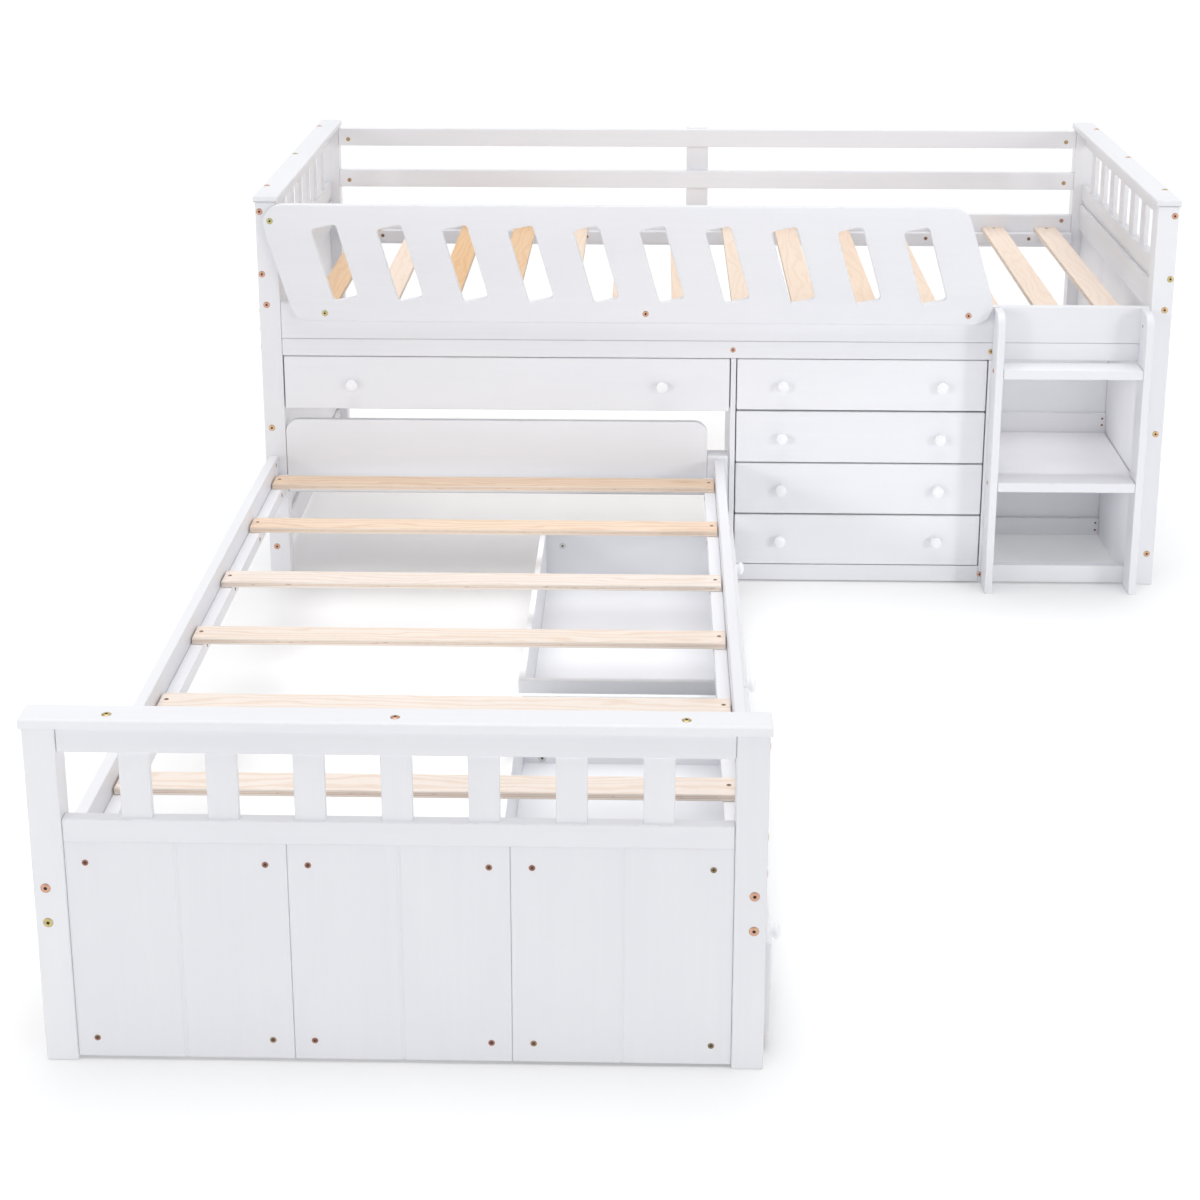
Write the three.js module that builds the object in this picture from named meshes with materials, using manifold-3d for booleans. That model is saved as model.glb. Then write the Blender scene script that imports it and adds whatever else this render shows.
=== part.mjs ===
// L-shaped loft bed: a low loft bed with drawers, an open shelf bay and a short ladder,
// and a lower bed with two roll-out drawers set at right angles to it.
// Millimetres, +Z up. The loft runs along X, the lower bed runs along -Y from the loft's front plane.
// While it is built, X = 0 is the outer face of the loft's left posts and Y = 0 is the loft's front plane;
// the exported group shifts that to the middle of the footprint, on the floor.
import * as THREE from "three";
import { mergeVertices } from "three/addons/utils/BufferGeometryUtils.js";
import Module from "manifold-3d";

const wasm = await Module();
wasm.setup();

// ---------------------------------------------------------------- driving dimensions
const GAP = 0.3; // between neighbouring pieces

// loft frame
const LOFT_L = 2022; // over the posts, along X
const LOFT_W = 1046; // over the posts, along Y
const POST_X = 47;
const POST_Y = 45;
const POST_H = 877;
const CAP_T = 15;
const CAP_OVER = 3.5; // overhang of a cap board past the posts, each side
const CAP_EASE = 3; // eased top edges of a cap board

// end frames and footboard
const RAIL_T = 22; // thickness of the grille's rails
const SLAT_W = 44.4; // upright slats of a grille
const SLAT_T = 12;
const SLAT_FIRST = 131.5; // outer face of the frame to the first upright slat
const SLAT_PITCH = 123.1;
const SLAT_N = 7;
const PANEL_T = 15;
const PANEL_IN = 4; // panel face behind the posts' outer face
const RAIL_IN = 2; // rail face behind the posts' outer face
const GROOVE_W = 4;
const GROOVE_D = 2.5;
const CLEAT_H = 66;
const CLEAT_T = 8.5;

const LOFT_TOP_RAIL = [838, 876.7];
const LOFT_MID_RAIL = [697, 735];
const LOFT_PANEL = [35, 696.7];
const LOFT_CLEATS = [75, 360, 651]; // mid heights

// long boards of the loft
const BOARD_T = 20;
const FRONT_RAIL = [569.3, 652];
const APRON = [529.3, 569];
const REAR_RAIL = [569, 655];
const GUARD_RAIL_LOW = [722, 767];
const GUARD_RAIL_TOP = [831, 876.5];
const STILE_X = [962, 1018];
const STILE_T = 18;

// slat decks
const LOFT_LEDGER = [581, 610];
const LOFT_SLAT_TOP = 622;
const LOFT_SLAT_FIRST = 98;
const LOFT_SLAT_PITCH = 136.95;
const LOFT_SLAT_W = 57;
const LOFT_SLAT_N = 14;

// guard panel on the loft's front: a leaning outline with ten leaning slots
const GUARD_T = 18;
const GUARD_Z = [613.3, 876.7];
const GUARD_TOP_X = [2.9, 1561];
const GUARD_BOTTOM_X = [82.5, 1641];
const GUARD_R = 45;
const SLOT_FIRST = [173.5, 745.9]; // middle of the first slot, X and Z
const SLOT_PITCH = 144.45;
const SLOT_N = 10;
const SLOT_ACROSS = [54.8, 11.7]; // one short side, X and Z
const SLOT_DOWN = [45.8, -161.8]; // one long side
const SLOT_R = 8;

// cabinet and shelf bay
const CAB_LEFT = [1052, 1063.7];
const CAB_RIGHT = [1625, 1639];
const CAB_D = 355;
const CAB_TOP = 568;
const BAY_SIDE = [1962, 1974.7];
const PLINTH = [4, 41.6];
const SHELF = [244, 262];
const BACK_T = 9;
const BACK_RAIL_T = 12;

// drawer fronts, bottom to top
const FRONT_T = 16;
const CAB_FRONTS = [
  [43, 161.7],
  [165.3, 284.2],
  [287.3, 406.7],
  [410.3, 527.7],
];
const CAB_FRONT_X = [1066, 1622.7];
const CAB_KNOB_X = [1169, 1524];
const LONG_FRONT_X = [49.5, 1049.5];
const LONG_FRONT_Z = [406, 527.7];
const LONG_KNOB_X = [202, 898];
const LONG_BOX_X = [63, 1036];
const LONG_BOX_Z = [418, 505];
const SIDE_T = 12; // drawer sides
const BOTTOM_T = 5;

// ladder
const STRINGER_LEFT = [1631, 1648.5];
const STRINGER_RIGHT = [1954.5, 1971.5];
const STRINGER_D = 67;
const STRINGER_H = 650;
const STRINGER_R = 32;
const STEPS = [
  [242, 264],
  [503, 525],
];

// lower bed
const BED_W = 1046; // over the posts, along X
const BED_FRONT = -1997; // footboard's front plane
const FOOT_POST_X = 46.5;
const FOOT_POST_Y = 46;
const FOOT_H = 528;
const FOOT_TOP_RAIL = [491, 527.7];
const FOOT_MID_RAIL = [352, 388];
const FOOT_PANEL = [6, 351.7];
const FOOT_CLEATS = [41, 311];
const SIDE_RAIL_Z = [182, 295];
const SIDE_RAIL_T = 20;
const SIDE_RAIL_IN = 7.5;
const BED_LEDGER = [222, 250];
const LEDGER_T = 24;
const BED_SLAT_TOP = 262;
const BED_SLAT_W = 62;
const BED_SLAT_Y = [-1940, -1637, -1325, -1014, -720, -399, -109]; // near edge of each slat
const HEAD_PANEL_Z = [207, 380];
const HEAD_PANEL_T = 18;
const HEAD_LEG_X = [1002, 1048];
const HEAD_LEG_H = 301;

// roll-out drawers under the lower bed
const UNDER_FRONT_X = [1042, 1058];
const UNDER_FRONT_Z = [21, 178];
const UNDER_W = 925;
const UNDER_MID_Y = [-553.5, -1482.5]; // far and near drawer
const UNDER_KNOB_OFF = 320;
const UNDER_KNOB_Z = 118;
const UNDER_BOX_W = 870;
const UNDER_BOX_X = [632, 1041.7];
const UNDER_BOX_Z = [26, 174];

// turned knob: distance from the front's face, radius
const KNOB_PROFILE = [
  [0, 0],
  [9, 0],
  [9, 2.2],
  [6.9, 4.2],
  [6.1, 7.5],
  [7.3, 10],
  [11.8, 12],
  [13.2, 14.4],
  [12.5, 17.4],
  [9, 20],
  [4.4, 21],
  [0, 21.2],
];

// ---------------------------------------------------------------- materials
const PAINT = { color: 0xeeeef4, roughness: 0.45, metalness: 0 };
const RAW = { color: 0xe3c39c, roughness: 0.7, metalness: 0 };

// ---------------------------------------------------------------- shapes
function box([x0, x1], [y0, y1], [z0, z1]) {
  return new THREE.BoxGeometry(x1 - x0, y1 - y0, z1 - z0).translate(
    (x0 + x1) / 2,
    (y0 + y1) / 2,
    (z0 + z1) / 2,
  );
}

// an outline in X and Z, extruded from y0 to y1
function plateXZ(shape, [y0, y1]) {
  const g = new THREE.ExtrudeGeometry(shape, {
    depth: y1 - y0,
    bevelEnabled: false,
    curveSegments: 6,
  });
  const m = new THREE.Matrix4().makeBasis(
    new THREE.Vector3(1, 0, 0),
    new THREE.Vector3(0, 0, 1),
    new THREE.Vector3(0, -1, 0),
  );
  return g.applyMatrix4(m).translate(0, y1, 0);
}

// an outline in Y and Z, extruded from x0 to x1
function plateYZ(shape, [x0, x1]) {
  const g = new THREE.ExtrudeGeometry(shape, {
    depth: x1 - x0,
    bevelEnabled: false,
    curveSegments: 8,
  });
  const m = new THREE.Matrix4().makeBasis(
    new THREE.Vector3(0, 1, 0),
    new THREE.Vector3(0, 0, 1),
    new THREE.Vector3(1, 0, 0),
  );
  return g.applyMatrix4(m).translate(x0, 0, 0);
}

function polygon(points, Kind = THREE.Shape) {
  const s = new Kind();
  s.moveTo(...points[0]);
  points.slice(1).forEach((p) => s.lineTo(...p));
  s.closePath();
  return s;
}

// a polygon whose corners are rounded, one radius per corner
function rounded(points, radii, Kind = THREE.Shape) {
  const s = new Kind();
  const n = points.length;
  for (let i = 0; i < n; i++) {
    const p = new THREE.Vector2(...points[i]);
    const a = new THREE.Vector2(...points[(i + n - 1) % n]).sub(p).normalize();
    const b = new THREE.Vector2(...points[(i + 1) % n]).sub(p).normalize();
    const r = radii[i];
    if (r <= 0) {
      if (i === 0) s.moveTo(p.x, p.y);
      else s.lineTo(p.x, p.y);
      continue;
    }
    const half = Math.acos(a.dot(b)) / 2;
    const t = r / Math.tan(half);
    const from = p.clone().addScaledVector(a, t);
    const to = p.clone().addScaledVector(b, t);
    const mid = a
      .clone()
      .add(b)
      .normalize()
      .multiplyScalar(r / Math.sin(half))
      .add(p);
    if (i === 0) s.moveTo(from.x, from.y);
    else s.lineTo(from.x, from.y);
    const start = Math.atan2(from.y - mid.y, from.x - mid.x);
    let sweep = Math.atan2(to.y - mid.y, to.x - mid.x) - start;
    while (sweep > Math.PI) sweep -= 2 * Math.PI;
    while (sweep < -Math.PI) sweep += 2 * Math.PI;
    const steps = 6;
    for (let k = 1; k <= steps; k++) {
      const u = start + (sweep * k) / steps;
      s.lineTo(mid.x + r * Math.cos(u), mid.y + r * Math.sin(u));
    }
  }
  s.closePath();
  return s;
}

function solid(geometry) {
  const g = geometry.clone();
  g.deleteAttribute("normal");
  g.deleteAttribute("uv");
  const m = mergeVertices(g, 1e-3);
  return new wasm.Manifold(
    new wasm.Mesh({
      numProp: 3,
      vertProperties: new Float32Array(m.attributes.position.array),
      triVerts: new Uint32Array(m.index.array),
    }),
  );
}

function shown(manifold) {
  const m = manifold.getMesh();
  const position = new Float32Array(m.numVert * 3);
  for (let i = 0; i < m.numVert; i++)
    position.set(
      m.vertProperties.subarray(i * m.numProp, i * m.numProp + 3),
      i * 3,
    );
  const g = new THREE.BufferGeometry();
  g.setAttribute("position", new THREE.BufferAttribute(position, 3));
  g.setIndex(new THREE.BufferAttribute(new Uint32Array(m.triVerts), 1));
  g.computeVertexNormals();
  return g;
}

function join(...geometries) {
  return shown(
    geometries.map(solid).reduce((a, b) => a.add(b)),
  );
}

function cut(geometry, ...tools) {
  return shown(
    tools.map(solid).reduce((a, b) => a.subtract(b), solid(geometry)),
  );
}

const bed = new THREE.Group();

function add(name, geometry, finish = PAINT, parent = bed) {
  const mesh = new THREE.Mesh(geometry, new THREE.MeshStandardMaterial(finish));
  mesh.name = name;
  parent.add(mesh);
  return mesh;
}

// ---------------------------------------------------------------- frames with uprights and a grooved panel
// A frame is described along its own width u and height z, with its outer face at t = 0 and its depth
// running inwards along t; place() turns that into a box in the bed's axes.
function grille(place, width, postW, top, mid) {
  const inner = [postW + GAP, width - postW - GAP];
  const parts = [
    place(inner, [RAIL_IN, RAIL_IN + RAIL_T], top),
    place(inner, [RAIL_IN, RAIL_IN + RAIL_T], mid),
  ];
  const middle = RAIL_IN + RAIL_T / 2;
  for (let i = 0; i < SLAT_N; i++) {
    const u = SLAT_FIRST + i * SLAT_PITCH;
    parts.push(
      place(
        [u, u + SLAT_W],
        [middle - SLAT_T / 2, middle + SLAT_T / 2],
        [mid[1] - 6, top[0] + 6],
      ),
    );
  }
  return join(...parts);
}

function panelled(place, width, postW, panel, cleats) {
  const inner = [postW + GAP, width - postW - GAP];
  const board = (inner[1] - inner[0]) / 6;
  const whole = join(
    place(inner, [PANEL_IN, PANEL_IN + PANEL_T], panel),
    ...cleats.map((z) =>
      place(
        inner,
        [PANEL_IN + PANEL_T - 0.5, PANEL_IN + PANEL_T + CLEAT_T],
        [z - CLEAT_H / 2, z + CLEAT_H / 2],
      ),
    ),
  );
  const grooves = [];
  for (let i = 1; i < 6; i++) {
    const u = inner[0] + i * board;
    grooves.push(
      place(
        [u - GROOVE_W / 2, u + GROOVE_W / 2],
        [PANEL_IN - 1, PANEL_IN + GROOVE_D],
        [panel[0] - 1, panel[1] + 1],
      ),
    );
  }
  return cut(whole, ...grooves);
}

// ---------------------------------------------------------------- loft frame
for (const [side, x] of [
  ["left", [0, POST_X]],
  ["right", [LOFT_L - POST_X, LOFT_L]],
]) {
  add(`loft_post_front_${side}`, box(x, [0, POST_Y], [0, POST_H]));
  add(`loft_post_rear_${side}`, box(x, [LOFT_W - POST_Y, LOFT_W], [0, POST_H]));

  const z0 = POST_H + GAP;
  const [a, b] = [x[0] - CAP_OVER, x[1] + CAP_OVER];
  add(
    `loft_cap_${side}`,
    plateXZ(
      polygon([
        [a, z0],
        [b, z0],
        [b, z0 + CAP_T - CAP_EASE],
        [b - CAP_EASE, z0 + CAP_T],
        [a + CAP_EASE, z0 + CAP_T],
        [a, z0 + CAP_T - CAP_EASE],
      ]),
      [-3, LOFT_W + 3],
    ),
  );

  const place =
    side === "left"
      ? (u, t, z) => box([t[0], t[1]], u, z)
      : (u, t, z) => box([LOFT_L - t[1], LOFT_L - t[0]], u, z);
  add(
    `loft_end_grille_${side}`,
    grille(place, LOFT_W, POST_Y, LOFT_TOP_RAIL, LOFT_MID_RAIL),
  );
  add(
    `loft_end_panel_${side}`,
    panelled(place, LOFT_W, POST_Y, LOFT_PANEL, LOFT_CLEATS),
  );
}

const between = [POST_X + GAP, LOFT_L - POST_X - GAP];
add("loft_front_rail", box(between, [0, BOARD_T], FRONT_RAIL));
add("loft_apron", box(between, [0, BOARD_T], APRON));

const rear = LOFT_W - POST_Y; // front plane of the rear posts
add("loft_rear_rail", box(between, [rear, rear + BOARD_T], REAR_RAIL));
add("guard_rail_lower", box(between, [rear, rear + BOARD_T], GUARD_RAIL_LOW));
add("guard_rail_upper", box(between, [rear, rear + BOARD_T], GUARD_RAIL_TOP));
add(
  "guard_rail_stile",
  box(
    STILE_X,
    [rear + BOARD_T + GAP, rear + BOARD_T + GAP + STILE_T],
    [REAR_RAIL[0], GUARD_RAIL_TOP[1] + 3],
  ),
);

// slats resting on two ledger strips
{
  const y = [BOARD_T + GAP, rear - GAP];
  const parts = [
    box(between, [y[0], y[0] + LEDGER_T], LOFT_LEDGER),
    box(between, [y[1] - LEDGER_T, y[1]], LOFT_LEDGER),
  ];
  for (let i = 0; i < LOFT_SLAT_N; i++) {
    const x = LOFT_SLAT_FIRST + i * LOFT_SLAT_PITCH;
    parts.push(
      box([x, x + LOFT_SLAT_W], y, [LOFT_LEDGER[1] - 0.5, LOFT_SLAT_TOP]),
    );
  }
  add("loft_slat_deck", join(...parts), RAW);
}

// guard panel
{
  const shape = rounded(
    [
      [GUARD_BOTTOM_X[0], GUARD_Z[0]],
      [GUARD_BOTTOM_X[1], GUARD_Z[0]],
      [GUARD_TOP_X[1], GUARD_Z[1]],
      [GUARD_TOP_X[0], GUARD_Z[1]],
    ],
    [GUARD_R, GUARD_R, GUARD_R, GUARD_R],
  );
  for (let i = 0; i < SLOT_N; i++) {
    const mx = SLOT_FIRST[0] + i * SLOT_PITCH;
    const mz = SLOT_FIRST[1];
    const corner = (s, t) => [
      mx + (s * SLOT_ACROSS[0]) / 2 + (t * SLOT_DOWN[0]) / 2,
      mz + (s * SLOT_ACROSS[1]) / 2 + (t * SLOT_DOWN[1]) / 2,
    ];
    shape.holes.push(
      rounded(
        [corner(-1, -1), corner(-1, 1), corner(1, 1), corner(1, -1)],
        [SLOT_R, SLOT_R, SLOT_R, SLOT_R],
        THREE.Path,
      ),
    );
  }
  add("guard_panel", plateXZ(shape, [-GAP - GUARD_T, -GAP]));
}

// ---------------------------------------------------------------- cabinet and shelf bay
function sidePanel(x) {
  return plateYZ(
    polygon([
      [0, 0],
      [CAB_D, 0],
      [CAB_D, CAB_TOP],
      [BOARD_T + GAP, CAB_TOP],
      [BOARD_T + GAP, APRON[0] - GAP],
      [0, APRON[0] - GAP],
    ]),
    x,
  );
}
// runner strips on which the drawer boxes slide, one under each box
const RUNNER_W = 14;
const RUNNER_H = 11;
const runnerTops = CAB_FRONTS.map(([z]) => z + 15.7);
const runners = (x) =>
  runnerTops.map((z) => box(x, [FRONT_T + 4, CAB_D - 15], [z - RUNNER_H, z]));
add(
  "cabinet_side_left",
  join(
    sidePanel(CAB_LEFT),
    ...runners([CAB_LEFT[1] - 0.5, CAB_LEFT[1] + RUNNER_W]),
  ),
);
add(
  "cabinet_side_right",
  join(
    sidePanel(CAB_RIGHT),
    ...runners([CAB_RIGHT[0] - RUNNER_W, CAB_RIGHT[0] + 0.5]),
  ),
);
const cabInner = [CAB_LEFT[1] + GAP, CAB_RIGHT[0] - GAP];
add("cabinet_back", box(cabInner, [CAB_D - BACK_T, CAB_D], [PLINTH[0], CAB_TOP]));
add("cabinet_plinth", box(cabInner, [0, 18], PLINTH));
add(
  "cabinet_top",
  box(cabInner, [BOARD_T + GAP, CAB_D - BACK_T - GAP], [CAB_TOP - 16, CAB_TOP]),
);

const bay = [CAB_RIGHT[1] + GAP, BAY_SIDE[0] - GAP];
const backFront = CAB_D - BACK_T;
add("bay_side_panel", sidePanel(BAY_SIDE));
add(
  "bay_shelf",
  box(bay, [GAP, backFront - 2 * GAP - BACK_RAIL_T], SHELF),
);
add("bay_base_rail", box(bay, [0, 18], [PLINTH[0], 45]));
add("bay_back_panel", box(bay, [backFront, CAB_D], [1, APRON[0] - GAP]));
for (const [name, z] of [
  ["bay_back_rail_upper", [SHELF[0], 308]], // behind the shelf and above it
  ["bay_back_rail_lower", [1, 43]],
])
  add(name, box(bay, [backFront - GAP - BACK_RAIL_T, backFront - GAP], z));

// ---------------------------------------------------------------- ladder
for (const [side, x] of [
  ["left", STRINGER_LEFT],
  ["right", STRINGER_RIGHT],
])
  add(
    `ladder_stringer_${side}`,
    plateYZ(
      rounded(
        [
          [-STRINGER_D, 0],
          [-GAP, 0],
          [-GAP, STRINGER_H],
          [-STRINGER_D, STRINGER_H],
        ],
        [0, 0, 0, STRINGER_R],
      ),
      x,
    ),
  );
STEPS.forEach((z, i) =>
  add(
    `ladder_step_${i ? "upper" : "lower"}`,
    box(
      [STRINGER_LEFT[1] + GAP, STRINGER_RIGHT[0] - GAP],
      [-STRINGER_D, -GAP],
      z,
    ),
  ),
);

// ---------------------------------------------------------------- lower bed
{
  const y = [BED_FRONT, BED_FRONT + FOOT_POST_Y];
  add("foot_post_left", box([0, FOOT_POST_X], y, [0, FOOT_H]));
  add("foot_post_right", box([BED_W - FOOT_POST_X, BED_W], y, [0, FOOT_H]));
  const z0 = FOOT_H + GAP;
  const over = 4;
  add(
    "foot_cap",
    plateYZ(
      polygon([
        [y[0] - over, z0],
        [y[1] + over, z0],
        [y[1] + over, z0 + CAP_T - CAP_EASE],
        [y[1] + over - CAP_EASE, z0 + CAP_T],
        [y[0] - over + CAP_EASE, z0 + CAP_T],
        [y[0] - over, z0 + CAP_T - CAP_EASE],
      ]),
      [-3.5, BED_W + 3.5],
    ),
  );
  const place = (u, t, z) => box(u, [BED_FRONT + t[0], BED_FRONT + t[1]], z);
  add(
    "foot_grille",
    grille(place, BED_W, FOOT_POST_X, FOOT_TOP_RAIL, FOOT_MID_RAIL),
  );
  add(
    "foot_panel",
    panelled(place, BED_W, FOOT_POST_X, FOOT_PANEL, FOOT_CLEATS),
  );

  const rail = [y[1] + GAP, -GAP];
  const left = [SIDE_RAIL_IN, SIDE_RAIL_IN + SIDE_RAIL_T];
  const right = [BED_W - SIDE_RAIL_IN - SIDE_RAIL_T, BED_W - SIDE_RAIL_IN];
  add("bed_side_rail_left", box(left, rail, SIDE_RAIL_Z));
  add("bed_side_rail_right", box(right, rail, SIDE_RAIL_Z));

  const inner = [left[1] + GAP, right[0] - GAP];
  const parts = [
    box([inner[0], inner[0] + LEDGER_T], rail, BED_LEDGER),
    box([inner[1] - LEDGER_T, inner[1]], rail, BED_LEDGER),
  ];
  for (const near of BED_SLAT_Y)
    parts.push(
      box(
        inner,
        [near, near + BED_SLAT_W],
        [BED_LEDGER[1] - 0.5, BED_SLAT_TOP],
      ),
    );
  add("bed_slat_deck", join(...parts), RAW);

  const head = [POST_X + 0.8, HEAD_LEG_X[0] - GAP];
  add(
    "head_panel",
    plateXZ(
      rounded(
        [
          [head[0], HEAD_PANEL_Z[0]],
          [head[1], HEAD_PANEL_Z[0]],
          [head[1], HEAD_PANEL_Z[1]],
          [head[0], HEAD_PANEL_Z[1]],
        ],
        [0, 0, 30, 30],
      ),
      [0, HEAD_PANEL_T],
    ),
  );
  add("head_leg", box(HEAD_LEG_X, [0, POST_Y], [0, HEAD_LEG_H]));
}

// ---------------------------------------------------------------- drawers
const knob = () =>
  new THREE.LatheGeometry(
    KNOB_PROFILE.map(([r, t]) => new THREE.Vector2(r, t)),
    20,
  );
// a knob on a front that faces -Y: the lathe's axis Y turns to -Y
const knobAlongY = (x, y, z) =>
  knob().rotateX(Math.PI).translate(x, y + 0.5, z);
// a knob on a front that faces +X
const knobAlongX = (x, y, z) =>
  knob()
    .rotateZ(-Math.PI / 2)
    .translate(x - 0.5, y, z);

// an open box: four sides and a bottom set a little above the lower edge
function tray([x0, x1], [y0, y1], [z0, z1]) {
  return cut(
    box([x0, x1], [y0, y1], [z0, z1]),
    box(
      [x0 + SIDE_T, x1 - SIDE_T],
      [y0 + SIDE_T, y1 - SIDE_T],
      [z0 + 8 + BOTTOM_T, z1 + 1],
    ),
    box(
      [x0 + SIDE_T, x1 - SIDE_T],
      [y0 + SIDE_T, y1 - SIDE_T],
      [z0 - 1, z0 + 8],
    ),
  );
}

CAB_FRONTS.forEach((z, i) => {
  const name = `cabinet_drawer_${4 - i}`; // 1 is the top one
  const zk = (z[0] + z[1]) / 2 - 2;
  add(
    `${name}_front`,
    join(
      box(CAB_FRONT_X, [0, FRONT_T], z),
      ...CAB_KNOB_X.map((x) => knobAlongY(x, 0, zk)),
    ),
  );
  add(
    `${name}_box`,
    tray(
      [CAB_FRONT_X[0] + 0.5, CAB_FRONT_X[1] - 0.5],
      [FRONT_T + GAP, CAB_D - BACK_T - 5],
      [runnerTops[i] + GAP, z[1] - 12],
    ),
  );
});

add(
  "long_drawer_front",
  join(
    box(LONG_FRONT_X, [0, FRONT_T], LONG_FRONT_Z),
    ...LONG_KNOB_X.map((x) => knobAlongY(x, 0, 464)),
  ),
);
add(
  "long_drawer_box",
  tray(LONG_BOX_X, [FRONT_T + GAP, CAB_D - 5], LONG_BOX_Z),
);
// hangers with a runner foot, left on the loft's front post and right on the cabinet's side
add(
  "long_drawer_hanger_left",
  join(
    box([POST_X + GAP, POST_X + GAP + 12], [BOARD_T + GAP, CAB_D], [408, CAB_TOP]),
    box(
      [POST_X + GAP + 11, POST_X + GAP + 32],
      [BOARD_T + GAP, CAB_D],
      [408, LONG_BOX_Z[0] - GAP],
    ),
  ),
);
add(
  "long_drawer_hanger_right",
  join(
    box([CAB_LEFT[0] - GAP - 12, CAB_LEFT[0] - GAP], [BOARD_T + GAP, CAB_D], [408, CAB_TOP]),
    box(
      [CAB_LEFT[0] - GAP - 32, CAB_LEFT[0] - GAP - 11],
      [BOARD_T + GAP, CAB_D],
      [408, LONG_BOX_Z[0] - GAP],
    ),
  ),
);

UNDER_MID_Y.forEach((mid, i) => {
  const name = `under_bed_drawer_${i ? "near" : "far"}`;
  add(
    `${name}_front`,
    join(
      box(UNDER_FRONT_X, [mid - UNDER_W / 2, mid + UNDER_W / 2], UNDER_FRONT_Z),
      knobAlongX(UNDER_FRONT_X[1], mid - UNDER_KNOB_OFF, UNDER_KNOB_Z),
      knobAlongX(UNDER_FRONT_X[1], mid + UNDER_KNOB_OFF, UNDER_KNOB_Z),
    ),
  );
  const y = [mid - UNDER_BOX_W / 2, mid + UNDER_BOX_W / 2];
  const glides = [];
  for (const gx of [UNDER_BOX_X[0] + 50, UNDER_BOX_X[1] - 50])
    for (const gy of [y[0] + 60, y[1] - 60])
      glides.push(
        box([gx - 25, gx + 25], [gy - 12, gy + 12], [1, UNDER_BOX_Z[0] + 9]),
      );
  const t = tray(UNDER_BOX_X, y, UNDER_BOX_Z);
  add(`${name}_box`, join(t, ...glides));
});

// ---------------------------------------------------------------- frame of the part
const SHIFT_X = -LOFT_L / 2;
const SHIFT_Y = -(BED_FRONT - 4 + LOFT_W + 3) / 2;
bed.position.set(SHIFT_X, SHIFT_Y, 0);

const part = new THREE.Group();
part.add(bed);

export default part;
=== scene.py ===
"""Looks of the L-shaped loft bed. Sizes below are millimetres in the part's working frame: X = 0 at the
outer face of the loft's left posts, Y = 0 at the loft's front plane, Z up. metres() turns them into metres."""

import math

import bmesh
import bpy
import numpy as np
from mathutils import Matrix, Vector
from mathutils.geometry import tessellate_polygon


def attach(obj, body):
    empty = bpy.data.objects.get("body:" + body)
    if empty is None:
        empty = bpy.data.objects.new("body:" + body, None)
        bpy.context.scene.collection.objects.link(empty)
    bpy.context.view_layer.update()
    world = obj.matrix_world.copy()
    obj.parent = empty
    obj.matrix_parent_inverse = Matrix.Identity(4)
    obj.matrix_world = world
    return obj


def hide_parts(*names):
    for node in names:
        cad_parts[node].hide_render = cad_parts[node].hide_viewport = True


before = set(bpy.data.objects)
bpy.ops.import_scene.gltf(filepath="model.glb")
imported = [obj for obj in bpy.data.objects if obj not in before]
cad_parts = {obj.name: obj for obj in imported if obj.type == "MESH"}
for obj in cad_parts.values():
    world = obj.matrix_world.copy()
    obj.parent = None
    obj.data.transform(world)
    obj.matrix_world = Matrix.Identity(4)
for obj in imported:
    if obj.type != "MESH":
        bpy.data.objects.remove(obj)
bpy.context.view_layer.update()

RNG = np.random.default_rng(411)
SHIFT = np.array([-1011.0, 476.0, 0.0])


def metres(co):
    return (np.asarray(co, float) + SHIFT) / 1000


# ------------------------------------------------------------------ mesh pieces
class Piece:
    """One object: boards, plates and turned parts gathered as separate closed shells."""

    def __init__(self, name):
        self.name = name
        self.co, self.grain, self.edge, self.tone, self.mark = [], [], [], [], []
        self.faces, self.mats = [], []

    def add(self, co, faces, grain, edge=None, tone=None, mark=None, mat=0):
        base = len(self.co)
        n = len(co)
        self.co += [tuple(c) for c in co]
        self.faces += [tuple(base + i for i in f) for f in faces]
        self.mats += [mat] * len(faces)
        self.grain += [tuple(g) for g in grain]
        self.edge += [0.0] * n if edge is None else [float(e) for e in edge]
        self.tone += [float(RNG.random()) if tone is None else float(tone)] * n
        self.mark += [0.0] * n if mark is None else [float(m) for m in mark]

    def done(self, body, nodes=(), slot=None, mats=(), weighted=True, sharp=50):
        me = bpy.data.meshes.new(self.name)
        me.from_pydata(metres(self.co).tolist(), [], self.faces)
        for key, data in (("edge", self.edge), ("tone", self.tone), ("mark", self.mark)):
            layer = me.attributes.new(key, "FLOAT", "POINT")
            layer.data.foreach_set("value", np.array(data, np.float32))
        layer = me.attributes.new("grain", "FLOAT_VECTOR", "POINT")
        layer.data.foreach_set("vector", np.array(self.grain, np.float32).ravel())
        for m in mats:
            me.materials.append(m)
        me.polygons.foreach_set("material_index", np.array(self.mats, np.int32))
        me.polygons.foreach_set("use_smooth", [True] * len(self.faces))
        bm = bmesh.new()
        bm.from_mesh(me)
        bmesh.ops.recalc_face_normals(bm, faces=bm.faces[:])
        bm.to_mesh(me)
        bm.free()
        me.set_sharp_from_angle(angle=math.radians(sharp))
        me.update()
        ob = bpy.data.objects.new(self.name, me)
        bpy.context.scene.collection.objects.link(ob)
        if weighted:
            w = ob.modifiers.new("even_faces", "WEIGHTED_NORMAL")
            w.mode = "FACE_AREA"
            w.weight = 80
            w.keep_sharp = True
        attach(ob, body)
        if nodes:
            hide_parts(*nodes)
        return ob


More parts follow.
